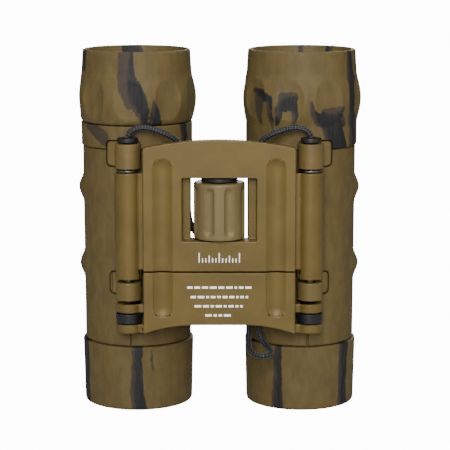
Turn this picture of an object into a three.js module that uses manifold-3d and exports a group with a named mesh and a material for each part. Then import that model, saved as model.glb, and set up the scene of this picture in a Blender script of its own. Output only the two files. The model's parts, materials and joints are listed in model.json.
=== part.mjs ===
// Compact folding binoculars with two hinges, standing on the objective end.
// Millimetres, +Z up along the optical axes, -Y the front with the focus wheel.
import * as THREE from 'three';
import { mergeVertices } from 'three/addons/utils/BufferGeometryUtils.js';
import Module from 'manifold-3d';

// ---- Driving dimensions ----------------------------------------------------------------------------------

// Gaps
const gap = 0.3;              // between pieces that touch or are pressed together
const runningGap = 0.35;      // between pieces that slide or turn on each other
const cutoutGap = 0.45;       // open line round a metal root that comes out through rubber
const joined = 0.4;           // solids that are joined reach this far into each other
const past = 1;               // cutters run this far past a face

// Barrels and hinges
const axisHalfSpacing = 25.35;     // barrel axis from the middle plane, as unfolded here
const hingeHalfSpacing = 27.3;     // hinge axis from the middle plane
const hingeArm = 21;               // hinge axis to barrel axis
const tubeOuterRadius = 15.1;
const tubeWall = 1.1;
const tubeBottom = 2.4;
const tubeTop = 84;
const armourBottomThickness = 1.35;   // the rubber is measured outwards from the metal tube
const armourTopThickness = 1.6;
const bumpHeights = [43.5, 67.5];
const bumpRise = 1.5;
const bumpLength = 8.4;
const bumpBreadth = 17;

// Objective end
const sleeveTop = 20;
const sleeveBaseThickness = 1.7;
const sleeveRimThickness = 2.15;
const sleeveEdge = 1.6;            // rounding of the bottom edge
const lipCover = 1;                // of the sleeve's lip under the end of the tube
const objectiveRecess = 5;         // base to the front of the objective lens
const crownThickness = 3.6;
const flintThickness = 2.2;
const lensBulge = 1.1;             // height of the curved faces of the objective
const carrierWall = 0.85;
const carrierLead = 0.8;           // of the carrier in front of its lens
const carrierSeat = 0.5;
const carrierTop = 34;

// Eyepiece end
const totalHeight = 110;
const collarBottom = 80.8;         // where the armour ends and the eyepiece rubber begins
const collarThickness = 2;
const dioptreLine = 87.8;          // joint between the fixed collar and the turning eyecup
const bandBottom = 88.9;           // scalloped grip band
const bandTop = 102.4;
const bandThickness = 3.36;
const bandEdgeThickness = 2.2;
const cupNeckThickness = 1.8;
const rimThickness = 1.4;
const rimWall = 1.5;
const cupFloor = 102.8;
const cupFloorThickness = 1;
const cupSlope = 3.7;              // from the rim in to the flat floor of the cup
const eyeOpeningRadius = 8;
const scallopCount = 9;
const scallopDepth = 1.2;
const scallopWidth = 10.2;
const scallopHeight = 13;
const housingStep = 2.1;           // from the tube in to the eyepiece housing
const housingWall = 2;
const housingFlange = 2.1;
const dioptreSleeveWall = 1.2;
const eyeLensRadius = 8;
const eyeCellWall = 2.4;
const eyeCellLength = 16.6;
const fieldLensRecess = 1.5;
const fieldLensThickness = 4.5;
const eyeLensThickness = 3.6;
const retainerWall = 1.2;
const retainerHeight = 0.9;
const dioptreTravel = 0.9;         // of the left eyepiece cell, each way
const fieldStopHeight = 80;
const fieldStopThickness = 1;
const fieldStopRadius = 7;

// Prisms
const prismBottom = 48.5;
const prismTop = 75.5;
const prismHalfWidth = 8;
const prismSlope = Math.tan(THREE.MathUtils.degToRad(22.5));
const halfPrismHeight = 5.5;       // height of its low side
const cageEnd = 2;                 // of the cage past the prisms
const cageWall = 2.2;
const cageCorner = 1.38;           // wall left outside the corners of the prism tunnel

// Bridge plates
const plateHalfWidth = 22.7;
const plateFront = 5.4;            // in front of the hinge plane
const plateBack = 2.2;             // behind the hinge plane
const upperPlateTop = 84.9;
const upperPlateCorner = 82.7;
const upperPlateBottom = 45.4;
const plateSplit = 0.4;            // gap between the two plates
const lowerPlateMiddle = 29;       // bottom edge at the middle
const lowerPlateCorner = 26.3;     // bottom edge at the sides
const plateCornerRadius = 1.2;
const lipThickness = 3;            // thin top of the upper plate, in front of the cord
const lipBottom = 78;
const windowBottom = 54.5;
const windowTop = 73.5;
const windowStep = 4.2;            // depth of the wide front part of the window
const windowShoulder = 2.5;        // the front part is this much wider on each side
const grooveOffset = 16.9;
const grooveWidth = 5.8;
const grooveDepth = 0.9;
const grooveBottom = 31.4;
const grooveTop = 79.4;

// Hinge stack, from the top down
const knuckleRadius = 3.8;
const hingeTubeRadius = 3.9;
const pinRadius = 1.5;
const upperKnuckle = [75.8, 83.3];
const hingeTube = [42.4, 74.6];
const lowerKnuckle = [35.9, 41.4];
const lowerRoot = [36.7, 43.2];    // metal root of the lower knuckle
const upperEar = [32.2, 34.85];
const carrierEar = [28.95, 31.85];
const lowerEar = [26, 28.6];
const rootRise = 1.7;              // outer face of the roots over the tube
const rootInward = 3;              // roots reach this far towards the middle
const webHalfWidth = 2.7;          // web from a knuckle to its root
const upperRootOutward = 7;
const lowerRootOutward = 6.3;
const webFront = 2.4;              // webs that carry the hinge tubes and the ears
const webBack = 1.6;
const earPinRadius = 1.2;
const earPinEnd = 0.8;             // closed bottom of the lower ear, under its pin
const roomSkin = 1.2;              // front wall of the room for the carrier's ear
const carrierArmHalfWidth = 1.4;
const slitWidth = 0.7;             // parting slit in the armour under the carrier's ear

// Focusing
const focusTravel = 3.2;           // of the lower plate, downwards
const wheelRadius = 7.7;
const wheelRoom = 0.9;             // beside the wheel in its window
const wheelFloorGap = 0.4;
const wheelEdge = 0.5;
const fluteCount = 8;
const fluteWidth = 3.1;
const fluteDepth = 0.8;
const fluteLength = 14.6;
const collarRingRadius = 5.5;
const collarRingHeight = 1.1;
const spindleRadius = 1.4;
const spindleTop = 77;
const spindleBottom = 36.5;
const spindleRoom = 1.5;           // under the spindle's end
const nutHalfWidth = 3;
const nutHalfDepth = 2;
const nutBottom = 38;
const nutTop = 44;

// Strap plugs and neck cord
const plugRadius = 3.1;
const plugHeight = 1.5;
const cordRadius = 0.9;
const cordSides = 8;
const hankBottom = 26.5;           // hank of spare cord behind the bridge
const hankTop = 53.5;
const hankTurns = [3, 2, 1];       // turns side by side in each layer, from the bridge backwards
const foldRadius = 5.4;            // of the innermost turn
const tieHeight = 3;
const tieThickness = 0.5;

// Small chamfers of the rubber
const softEdge = 0.25;
const edgeDrop = 0.8;
const cupLip = 0.3;

// Roundness
const shellSides = 28;
const innerSides = 20;
const wheelSides = 24;
const pinSides = 12;

// ---- Worked-out places -----------------------------------------------------------------------------------

const restAngle = Math.asin((hingeHalfSpacing - axisHalfSpacing) / hingeArm);
const hingeY = -hingeArm * Math.cos(restAngle);
const frontY = hingeY - plateFront;
const backY = hingeY + plateBack;
const tubeInnerRadius = tubeOuterRadius - tubeWall;
const insideTube = 0.8 * tubeInnerRadius;      // a plane well inside the tube's wall
const armourBottomRadius = tubeOuterRadius + armourBottomThickness;
const armourTopRadius = tubeOuterRadius + armourTopThickness;
const sleeveBaseRadius = tubeOuterRadius + sleeveBaseThickness;
const sleeveRimRadius = tubeOuterRadius + sleeveRimThickness;
const lipInnerRadius = tubeOuterRadius - lipCover;
const collarRadius = tubeOuterRadius + collarThickness;
const bandRadius = tubeOuterRadius + bandThickness;
const bandEdgeRadius = tubeOuterRadius + bandEdgeThickness;
const cupNeckRadius = tubeOuterRadius + cupNeckThickness;
const rimRadius = tubeOuterRadius + rimThickness;
const cupFloorRadius = rimRadius - cupSlope;
const housingRadius = tubeOuterRadius - housingStep;
const rootRadius = tubeOuterRadius + rootRise;
const prismReach = tubeInnerRadius - gap - cageCorner;
const prismHalfDepth = Math.sqrt(prismReach ** 2 - (prismHalfWidth + gap) ** 2) - gap;
const innerWindowHalfWidth = wheelRadius + wheelRoom;
const windowHalfWidth = innerWindowHalfWidth + windowShoulder;
const wheelBottom = windowBottom + wheelFloorGap;
const wheelTop = windowTop - gap - collarRingHeight - gap;
const armourInnerRadius = tubeOuterRadius + gap;
const carrierOuterRadius = tubeInnerRadius - runningGap / 2;
const carrierInnerRadius = carrierOuterRadius - carrierWall;
const lowerPlateTop = upperPlateBottom - plateSplit;
const housingBottom = tubeTop + gap;
const housingTop = cupFloor - cupFloorThickness - gap - dioptreTravel;
const eyeCellRadius = housingRadius - housingWall - gap;
const eyeCellTop = housingTop - dioptreTravel;
const eyeCellBottom = eyeCellTop - eyeCellLength;
const dioptreSleeveInner = housingRadius + runningGap;
const dioptreSleeveOuter = dioptreSleeveInner + dioptreSleeveWall;
const pinBore = pinRadius + gap;
const spindleBore = spindleRadius + gap;
const hankFront = backY + gap + tieThickness + gap;

// ---- Materials -------------------------------------------------------------------------------------------

function finish(color, roughness, metalness) {
  return new THREE.MeshStandardMaterial({ color, roughness, metalness });
}

const bridgePaint = finish(0x806a3c, 0.45, 0.2);
const barrelPaint = finish(0x786438, 0.5, 0.2);
const wheelPaint = finish(0x8e7d55, 0.5, 0.1);
const armourRubber = finish(0x695837, 0.75, 0);
const blackPlastic = finish(0x1b1b1c, 0.5, 0);
const blackMetal = finish(0x222224, 0.4, 0.6);
const steel = finish(0xb8babd, 0.3, 1);
const brass = finish(0xb5994d, 0.35, 1);
const glass = finish(0xcfe3e0, 0.05, 0);
const cordBlack = finish(0x151515, 0.85, 0);

// ---- Solids ----------------------------------------------------------------------------------------------

const wasm = await Module();
wasm.setup();

// A closed three.js geometry as a manifold solid; triangles that shrink to a line on an axis are dropped.
function solid(geometry) {
  const bare = geometry.clone();
  bare.deleteAttribute('normal');
  bare.deleteAttribute('uv');
  const merged = mergeVertices(bare, 1e-4);
  const corners = merged.index.array;
  const kept = [];
  for (let i = 0; i < corners.length; i += 3) {
    const [a, b, c] = corners.slice(i, i + 3);
    if (a !== b && b !== c && c !== a) kept.push(a, b, c);
  }
  const vertProperties = merged.attributes.position.array;
  return new wasm.Manifold(new wasm.Mesh({ numProp: 3, vertProperties, triVerts: Uint32Array.from(kept) }));
}

function geometryOf(body) {
  const mesh = body.getMesh();
  const geometry = new THREE.BufferGeometry();
  geometry.setAttribute('position', new THREE.BufferAttribute(mesh.vertProperties, mesh.numProp));
  geometry.setIndex(new THREE.BufferAttribute(mesh.triVerts, 1));
  geometry.computeVertexNormals();
  return geometry;
}

// Profile points are [radius, z], anticlockwise with the radius to the right.
function turned(profile, sides = innerSides) {
  const points = profile.map(([radius, z]) => new THREE.Vector2(radius, z));
  const onAxis = points[0].x === 0;
  if (!onAxis) points.push(points[0].clone());
  return solid(new THREE.LatheGeometry(points, sides).rotateX(Math.PI / 2));
}

function ring(inner, outer, bottom, top, sides = innerSides) {
  return turned([[inner, bottom], [outer, bottom], [outer, top], [inner, top]], sides);
}

function rod(radius, bottom, top, x = 0, y = 0, sides = innerSides) {
  const geometry = new THREE.CylinderGeometry(radius, radius, top - bottom, sides).rotateX(Math.PI / 2);
  return solid(geometry.translate(x, y, (bottom + top) / 2));
}

function block([x0, x1], [y0, y1], [z0, z1]) {
  const geometry = new THREE.BoxGeometry(Math.abs(x1 - x0), y1 - y0, z1 - z0);
  return solid(geometry.translate((x0 + x1) / 2, (y0 + y1) / 2, (z0 + z1) / 2));
}

function ellipsoid([rx, ry, rz], [x, y, z], turn = 0, detail = 16) {
  const geometry = new THREE.SphereGeometry(1, detail, detail / 2).rotateX(Math.PI / 2);
  return solid(geometry.scale(rx, ry, rz).translate(x, y, z).rotateZ(turn));
}

// An outline drawn in X and Z, made solid from y0 to y1.
function plate(shape, [y0, y1]) {
  const extent = { depth: y1 - y0, bevelEnabled: false, curveSegments: 6 };
  const geometry = new THREE.ExtrudeGeometry(shape, extent);
  return solid(geometry.rotateX(Math.PI / 2).translate(0, y1, 0));
}

function union(bodies) {
  return bodies.reduce((sum, body) => sum.add(body));
}

// A flute or groove cutter: an upright cylinder with ball ends, sunk to a depth in a face.
function grooveCutter(width, depth, bottom, top, sides) {
  const radius = ((width / 2) ** 2 + depth ** 2) / (2 * depth);
  const low = bottom + width / 2;
  const high = top - width / 2;
  const ends = [low, high].map((z) => ellipsoid([radius, radius, radius], [0, 0, z], 0, sides));
  return { radius, cutter: union([rod(radius, low, high, 0, 0, sides), ...ends]) };
}

function add(group, name, shape, material) {
  const mesh = new THREE.Mesh(geometryOf(shape), material);
  mesh.name = name;
  group.add(mesh);
  return mesh;
}

// ---- Barrel pieces: barrel axis at the origin, hinge axis at (0, -hingeArm), outwards is side * X -------

const hingeAxis = [0, -hingeArm];
const frontAngle = -Math.PI / 2;

function knuckleRoot(side, span, outward, extra) {
  const reach = rootRadius + extra;
  const across = [-side * (rootInward + extra), side * (outward + extra)];
  const sector = block(across, [-reach, -insideTube], [span[0] - extra, span[1] + extra]);
  return sector.intersect(rod(reach, span[0] - extra, span[1] + extra, 0, 0, shellSides));
}

function barrelTube(side) {
  const body = rod(tubeOuterRadius, tubeBottom, tubeTop, 0, 0, shellSides);
  const upper = knuckleRoot(side, upperKnuckle, upperRootOutward, 0);
  const lower = knuckleRoot(side, lowerRoot, lowerRootOutward, 0);
  const knuckles = [upperKnuckle, lowerKnuckle].flatMap((span) => [
    rod(knuckleRadius, ...span, ...hingeAxis),
    block([-webHalfWidth, webHalfWidth], [-hingeArm, -tubeOuterRadius + joined], span),
  ]);
  const hollow = rod(tubeInnerRadius, 0, totalHeight, 0, 0, shellSides);
  const pinHole = rod(pinBore, 0, totalHeight, ...hingeAxis, pinSides);
  return union([body, upper, lower, ...knuckles]).subtract(hollow).subtract(pinHole)
    .subtract(carrierSlot(runningGap));
}

// Room for the carrier's arm over its whole travel.
function carrierSlot(clearance) {
  const halfWidth = carrierArmHalfWidth + clearance;
  const span = [carrierEar[0] - focusTravel - clearance, carrierEar[1] + clearance];
  return block([-halfWidth, halfWidth], [-hingeArm, -insideTube], span);
}

function rubberCutouts(side) {
  return union([
    knuckleRoot(side, upperKnuckle, upperRootOutward, cutoutGap),
    knuckleRoot(side, lowerRoot, lowerRootOutward, cutoutGap),
    block([-rootInward - cutoutGap, rootInward + cutoutGap], [-hingeArm, -tubeInnerRadius],
      [lowerKnuckle[0] - cutoutGap, lowerKnuckle[1]]),
  ]);
}

function armour(side) {
  const bottom = sleeveTop + gap;
  const top = collarBottom - gap;
  const outline = [[0, bottom], [armourBottomRadius, bottom], [armourTopRadius, top], [0, top]];
  const body = turned(outline, shellSides);
  const depth = 4;
  const share = Math.sqrt(1 - ((depth - bumpRise) / depth) ** 2);
  const size = [depth, bumpBreadth / 2 / share, bumpLength / 2 / share];
  const bumps = bumpHeights.map((z) => ellipsoid(size, [side * (armourTopRadius + bumpRise - depth), 0, z]));
  const hollow = rod(armourInnerRadius, 0, totalHeight, 0, 0, shellSides);
  const slit = block([-slitWidth / 2, slitWidth / 2],
    [-hingeArm, -tubeInnerRadius], [0, carrierEar[0] - focusTravel]);
  return union([body, ...bumps]).subtract(hollow).subtract(rubberCutouts(side))
    .subtract(carrierSlot(cutoutGap)).subtract(slit);
}

function objectiveSleeve() {
  const shelf = tubeBottom - gap;
  const flat = sleeveBaseRadius - sleeveEdge;
  const bevel = 0.3 * sleeveEdge;
  return turned([[lipInnerRadius, 0], [flat, 0], [sleeveBaseRadius - bevel, bevel],
    [sleeveBaseRadius, sleeveEdge], [sleeveRimRadius, sleeveTop - edgeDrop],
    [sleeveRimRadius - edgeDrop / 2, sleeveTop],
    [armourInnerRadius, sleeveTop], [armourInnerRadius, shelf], [lipInnerRadius, shelf]], shellSides);
}

// Outer line of the rubber above the dioptre line, up and over the rim and down to the floor of the cup.
function cupProfile() {
  const middle = (bandBottom + bandTop) / 2;
  const shoulder = (bandTop - bandBottom) / 4;
  const bulge = (bandRadius - bandEdgeRadius) * 0.78;
  return [
    [bandEdgeRadius - softEdge, dioptreLine], [bandEdgeRadius, bandBottom],
    [bandEdgeRadius + bulge, middle - shoulder], [bandRadius, middle],
    [bandEdgeRadius + bulge, middle + shoulder], [bandEdgeRadius, bandTop], [cupNeckRadius, bandTop + 0.7],
    [rimRadius, totalHeight - rimWall / 2.5], [rimRadius - rimWall / 3, totalHeight],
    [rimRadius - rimWall + cupLip, totalHeight], [rimRadius - rimWall, totalHeight - edgeDrop],
    [cupFloorRadius, cupFloor + 2 * softEdge], [eyeOpeningRadius, cupFloor],
    [eyeOpeningRadius, cupFloor - cupFloorThickness],
  ];
}

// Thumb-shaped hollows round the grip band; turn sets where the first one sits.
function scallops(turn) {
  const depth = 6;
  const share = Math.sqrt(1 - ((depth - scallopDepth) / depth) ** 2);
  const size = [depth, scallopWidth / 2 / share, scallopHeight / 2 / share];
  const middle = (bandBottom + bandTop) / 2;
  const centre = [bandRadius - scallopDepth + depth, 0, middle];
  const step = (2 * Math.PI) / scallopCount;
  return union([...Array(scallopCount).keys()].map((i) => ellipsoid(size, centre, turn + i * step, 16)));
}

// Foot of the rubber under the dioptre line.
function collarFoot(inner) {
  return [[inner, collarBottom], [collarRadius - softEdge, collarBottom],
    [collarRadius, collarBottom + softEdge]];
}

function turningEyecup() {
  const inner = dioptreSleeveOuter + gap;
  const foot = [[inner, dioptreLine + gap], [bandEdgeRadius - softEdge, dioptreLine + gap]];
  const profile = [...foot, ...cupProfile().slice(1), [inner, cupFloor - cupFloorThickness]];
  return turned(profile, shellSides).subtract(scallops(frontAngle));
}

function fixedEyecup(side) {
  const wide = tubeOuterRadius + gap;
  const narrow = housingRadius + gap;
  const shelf = housingBottom + housingFlange + gap;
  const inside = [[narrow, cupFloor - cupFloorThickness], [narrow, shelf], [wide, shelf]];
  const profile = [...collarFoot(wide), ...cupProfile(), ...inside];
  return turned(profile, shellSides)
    .subtract(scallops(frontAngle + Math.PI / scallopCount)).subtract(rubberCutouts(side));
}

function fixedCollar(side) {
  const inner = tubeOuterRadius + gap;
  const profile = [...collarFoot(inner), [collarRadius, dioptreLine - softEdge],
    [collarRadius - softEdge, dioptreLine], [inner, dioptreLine]];
  return turned(profile, shellSides).subtract(rubberCutouts(side));
}

function eyepieceHousing() {
  const inner = housingRadius - housingWall;
  const flangeTop = housingBottom + housingFlange;
  return turned([[inner, housingBottom], [tubeOuterRadius, housingBottom], [tubeOuterRadius, flangeTop],
    [housingRadius, flangeTop], [housingRadius, housingTop], [inner, housingTop]]);
}

// A lens of two face heights at its middle and its edge.
function lens(radius, [lowMiddle, lowEdge], [highEdge, highMiddle]) {
  const halfway = 0.75;
  const low = (lowMiddle - lowEdge) * halfway;
  const high = (highMiddle - highEdge) * halfway;
  return turned([[0, lowMiddle], [radius / 2, lowEdge + low], [radius, lowEdge], [radius, highEdge],
    [radius / 2, highEdge + high], [0, highMiddle]]);
}

function addEyepiece(fixed, cell, tag) {
  const seat = eyeCellRadius - eyeCellWall;
  const lensRadius = Math.min(eyeLensRadius, seat) - gap;
  const fieldLensBottom = eyeCellBottom + fieldLensRecess;
  const fieldLensTop = fieldLensBottom + fieldLensThickness;
  const spacerBottom = fieldLensTop + gap;
  const ringBottom = eyeCellTop - retainerHeight;
  const eyeLensBottom = ringBottom - gap - eyeLensThickness;
  add(fixed, `field_stop_${tag}`, ring(fieldStopRadius, tubeInnerRadius - gap, fieldStopHeight,
    fieldStopHeight + fieldStopThickness), blackMetal);
  add(fixed, `eyepiece_housing_${tag}`, eyepieceHousing(), blackPlastic);
  add(cell, `eyepiece_cell_${tag}`, ring(seat, eyeCellRadius, eyeCellBottom, eyeCellTop), blackMetal);
  add(cell, `field_lens_${tag}`, lens(lensRadius, [fieldLensBottom, fieldLensBottom],
    [fieldLensBottom + fieldLensRecess, fieldLensTop]), glass);
  const ringInner = lensRadius - retainerWall;
  add(cell, `lens_spacer_${tag}`, ring(ringInner, lensRadius, spacerBottom, eyeLensBottom - gap), blackMetal);
  add(cell, `eye_lens_${tag}`, lens(lensRadius, [eyeLensBottom, eyeLensBottom + lensBulge],
    [eyeLensBottom + eyeLensThickness, eyeLensBottom + eyeLensThickness]), glass);
  add(cell, `eyepiece_ring_${tag}`, ring(ringInner, lensRadius, ringBottom, eyeCellTop), blackMetal);
}

function addPrisms(group, tag) {
  const cageBottom = prismBottom - cageEnd;
  const cageTop = prismTop + cageEnd;
  const depth = prismHalfDepth + gap;
  const width = prismHalfWidth + gap;
  const shell = rod(tubeInnerRadius - gap, cageBottom, cageTop);
  const tunnel = block([-width, width], [-depth, depth], [cageBottom - past, cageTop + past]);
  const windowDepth = [-depth + cageWall, depth - cageWall];
  const windowHeight = [prismBottom + cageWall, prismTop - cageWall];
  const windows = [-1, 1].map((s) => block([s * width * 0.9, s * tubeOuterRadius],
    windowDepth, windowHeight));
  add(group, `prism_cage_${tag}`, shell.subtract(tunnel).subtract(union(windows)), blackPlastic);
  const rise = 2 * prismHalfDepth * prismSlope;
  const low = prismBottom + halfPrismHeight;
  const airGap = 0.6;
  const half = [[-prismHalfDepth, prismBottom], [prismHalfDepth, prismBottom], [prismHalfDepth, low],
    [-prismHalfDepth, low + rise]];
  const roof = [[-prismHalfDepth, low + rise + airGap], [prismHalfDepth, low + airGap],
    [prismHalfDepth, prismTop - prismHalfDepth], [prismHalfDepth / 2, prismTop], [-prismHalfDepth, prismTop]];
  add(group, `half_prism_${tag}`, prism(half), glass);
  add(group, `roof_prism_${tag}`, prism(roof), glass);
}

// An outline in Y and Z, made solid across the barrel.
function prism(outline) {
  const shape = new THREE.Shape(outline.map(([y, z]) => new THREE.Vector2(y, z)));
  const geometry = new THREE.ExtrudeGeometry(shape, { depth: 2 * prismHalfWidth, bevelEnabled: false });
  return solid(geometry.rotateX(Math.PI / 2).rotateZ(Math.PI / 2).translate(-prismHalfWidth, 0, 0));
}

function addObjective(group, tag) {
  const seat = carrierInnerRadius - gap;
  const crownMiddle = objectiveRecess;
  const crownEdge = crownMiddle + lensBulge;
  const crownTopEdge = crownMiddle + crownThickness - lensBulge;
  const flintBottomEdge = crownTopEdge + gap;
  const flintTop = flintBottomEdge + lensBulge + flintThickness;
  const ledge = flintTop + gap;
  const front = objectiveRecess - carrierLead;
  const seatEdge = carrierInnerRadius - carrierSeat;
  const shell = turned([[carrierInnerRadius, front], [carrierOuterRadius, front],
    [carrierOuterRadius, carrierTop], [seatEdge, carrierTop], [seatEdge, ledge],
    [carrierInnerRadius, ledge]]);
  const armWidth = [-carrierArmHalfWidth, carrierArmHalfWidth];
  const arm = block(armWidth, [-hingeArm, -carrierInnerRadius], carrierEar);
  const ear = rod(hingeTubeRadius, ...carrierEar, ...hingeAxis);
  const through = [carrierEar[0] - past, carrierEar[1] + past];
  const hole = rod(earPinRadius + runningGap, ...through, ...hingeAxis, pinSides);
  add(group, `objective_carrier_${tag}`, union([shell, arm, ear]).subtract(hole), blackPlastic);
  add(group, `objective_crown_${tag}`, lens(seat, [crownMiddle, crownEdge],
    [crownTopEdge, crownMiddle + crownThickness]), glass);
  add(group, `objective_flint_${tag}`, lens(seat, [flintBottomEdge + lensBulge, flintBottomEdge],
    [flintTop, flintTop]), glass);
  add(group, `objective_ring_${tag}`, ring(seat - retainerWall, seat, front, crownEdge - gap), blackMetal);
}

// ---- Bridge pieces: middle plane at x = 0 ----------------------------------------------------------------

// Half outlines run from the middle to the right and are mirrored.
function upperPlateShape() {
  const shape = new THREE.Shape();
  const corner = plateCornerRadius;
  shape.moveTo(-plateHalfWidth, upperPlateBottom);
  shape.lineTo(plateHalfWidth, upperPlateBottom);
  shape.lineTo(plateHalfWidth, upperPlateCorner - corner);
  shape.quadraticCurveTo(plateHalfWidth, upperPlateCorner, plateHalfWidth - corner, upperPlateCorner);
  shape.quadraticCurveTo(0, 2 * upperPlateTop - upperPlateCorner, corner - plateHalfWidth, upperPlateCorner);
  shape.quadraticCurveTo(-plateHalfWidth, upperPlateCorner, -plateHalfWidth, upperPlateCorner - corner);
  return shape;
}

function lowerPlateShape() {
  const shape = new THREE.Shape();
  const flat = plateHalfWidth / 3;
  shape.moveTo(plateHalfWidth, lowerPlateTop);
  shape.lineTo(-plateHalfWidth, lowerPlateTop);
  shape.lineTo(-plateHalfWidth, lowerPlateCorner);
  shape.quadraticCurveTo(-(plateHalfWidth + flat) / 2, lowerPlateMiddle, -flat, lowerPlateMiddle);
  shape.lineTo(flat, lowerPlateMiddle);
  shape.quadraticCurveTo((plateHalfWidth + flat) / 2, lowerPlateMiddle, plateHalfWidth, lowerPlateCorner);
  return shape;
}

function grooves() {
  const { radius, cutter } = grooveCutter(grooveWidth, grooveDepth, grooveBottom, grooveTop, 28);
  return union([-1, 1].map((s) => cutter.translate([s * grooveOffset, frontY + grooveDepth - radius, 0])));
}

// Back corners taken off, so that the knuckle roots have room when the barrels fold together.
function backCorners() {
  const cut = 4;
  const reach = cut * Math.SQRT2;
  return union([-1, 1].map((s) => {
    const wedge = block([-reach / 2, reach / 2], [-reach / 2, reach / 2], [0, totalHeight]);
    return wedge.rotate([0, 0, 45]).translate([s * plateHalfWidth, backY, 0]);
  }));
}

function webs(span) {
  return [-1, 1].map((s) => block([s * (plateHalfWidth - past), s * hingeHalfSpacing],
    [hingeY - webFront, hingeY + webBack], span));
}

function hingeRods(radius, span, sides = innerSides) {
  return [-1, 1].map((s) => rod(radius, ...span, s * hingeHalfSpacing, hingeY, sides));
}

function upperBridge() {
  const lipBack = frontY + lipThickness;
  const body = plate(upperPlateShape(), [frontY, backY]);
  const wide = plateHalfWidth + past;
  const behindLip = block([-wide, wide], [lipBack, 0], [lipBottom, totalHeight]);
  const frontWindow = block([-windowHalfWidth, windowHalfWidth], [frontY - past, frontY + windowStep],
    [windowBottom, windowTop]);
  const innerWindow = block([-innerWindowHalfWidth, innerWindowHalfWidth], [frontY - past, backY + past],
    [windowBottom, windowTop]);
  const shell = body.subtract(backCorners()).subtract(behindLip).subtract(frontWindow).subtract(innerWindow)
    .subtract(grooves());
  const pinHoles = union(hingeRods(pinBore, [0, totalHeight], pinSides));
  const spindleHole = rod(spindleBore, 0, spindleTop + gap, 0, hingeY, pinSides);
  return union([shell, ...webs([upperPlateBottom, hingeTube[1]]), ...hingeRods(hingeTubeRadius, hingeTube)])
    .subtract(pinHoles).subtract(spindleHole);
}

function lowerBridge() {
  const body = plate(lowerPlateShape(), [frontY, backY]).subtract(backCorners()).subtract(grooves());
  const roomInner = hingeHalfSpacing - hingeTubeRadius - cutoutGap;
  const roomOuter = hingeHalfSpacing + hingeTubeRadius + cutoutGap;
  const roomHeight = [carrierEar[0] - gap, carrierEar[1] + gap];
  const carrierRoom = union([-1, 1].map((s) => block([s * roomInner, s * roomOuter],
    [frontY + roomSkin, 0], roomHeight)));
  const ears = [upperEar, lowerEar].flatMap((span) => [...webs(span), ...hingeRods(knuckleRadius, span)]);
  const pinHoleHeight = [lowerEar[0] + earPinEnd, upperEar[1] + past];
  const pinHoles = union(hingeRods(earPinRadius + gap, pinHoleHeight, pinSides));
  const spindleHole = rod(spindleBore, spindleBottom - spindleRoom, totalHeight, 0, hingeY, pinSides);
  const nutPocket = block([-nutHalfWidth - gap, nutHalfWidth + gap], [hingeY - nutHalfDepth - gap, 0],
    [nutBottom - gap, nutTop + gap]);
  return union([body, ...ears]).subtract(carrierRoom).subtract(pinHoles)
    .subtract(spindleHole).subtract(nutPocket);
}

function focusWheel() {
  const body = turned([[spindleBore, wheelBottom], [wheelRadius - wheelEdge, wheelBottom],
    [wheelRadius, wheelBottom + wheelEdge], [wheelRadius, wheelTop - wheelEdge],
    [wheelRadius - wheelEdge, wheelTop], [spindleBore, wheelTop]], wheelSides);
  const middle = (wheelBottom + wheelTop) / 2;
  const { radius, cutter } = grooveCutter(fluteWidth, fluteDepth, middle - fluteLength / 2,
    middle + fluteLength / 2, 12);
  const step = 360 / fluteCount;
  const flutes = [...Array(fluteCount).keys()].map((i) => cutter
    .translate([0, radius + wheelRadius - fluteDepth, 0]).rotate([0, 0, (i + 0.5) * step]));
  return body.subtract(union(flutes)).translate([0, hingeY, 0]);
}

function focusNut() {
  const depth = [hingeY - nutHalfDepth, hingeY + nutHalfDepth];
  const body = block([-nutHalfWidth, nutHalfWidth], depth, [nutBottom, nutTop]);
  return body.subtract(rod(spindleBore, 0, totalHeight, 0, hingeY, pinSides));
}

// ---- Neck cord -------------------------------------------------------------------------------------------

// From a strap plug in an arch over the bridge's lip and down behind the plate. The points are for the
// right side, and their y is measured from the hinge plane.
const leadStart = [
  [27.2, 0, 85.5], [26.6, 0, 86.5], [25.2, 0, 87.45], [23.2, 0, 87.95], [20.8, 0, 87.75], [18.2, 0, 86.95],
  [15.6, 0.1, 85.9], [13.2, 0.7, 84.4], [11.4, 1.7, 82.3], [10.3, 2.9, 79.7], [9.7, 3.55, 76.6],
  [9.4, 3.65, 72], [9.4, 3.65, 66.5],
];
// The left lead ends over the hank; the right one passes it, hangs in a slack loop and comes back to it.
const leftEnd = [[9.3, 3.8, 61.5], [8.7, 4.6, 58.4], [7.3, 5.9, 55.5], [5.6, 6.7, 53.9], [4, 7.2, 53.2]];
const rightEnd = [
  [9.6, 3.65, 61.5], [10.5, 3.55, 56.5], [11.5, 3.5, 51.5], [11.8, 3.5, 46], [11.8, 3.5, 40], [11.8, 3.5, 34],
  [11.8, 3.5, 29], [12.1, 3.4, 25.4], [13.2, 2, 22.4], [15, -0.5, 20.7], [15.4, -3.2, 19.7],
  [13.2, -4.7, 19.3], [10.5, -3.4, 19.7], [9.1, -0.6, 20.7], [8.8, 2.2, 22.4], [9, 3.9, 25.3],
  [9, 4.2, 29.8],
];

function cordTube(route, mirror) {
  const points = route.map(([x, y, z]) => new THREE.Vector3(mirror * x, hingeY + y, z));
  const path = new THREE.CatmullRomCurve3(points, false, 'centripetal');
  const step = 5 * cordRadius;
  const section = new THREE.Shape();
  section.absarc(0, 0, cordRadius, 0, 2 * Math.PI);
  const steps = Math.ceil(path.getLength() / step);
  return solid(new THREE.ExtrudeGeometry(section, { steps, curveSegments: cordSides / 2, extrudePath: path,
    bevelEnabled: false }));
}

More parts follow.
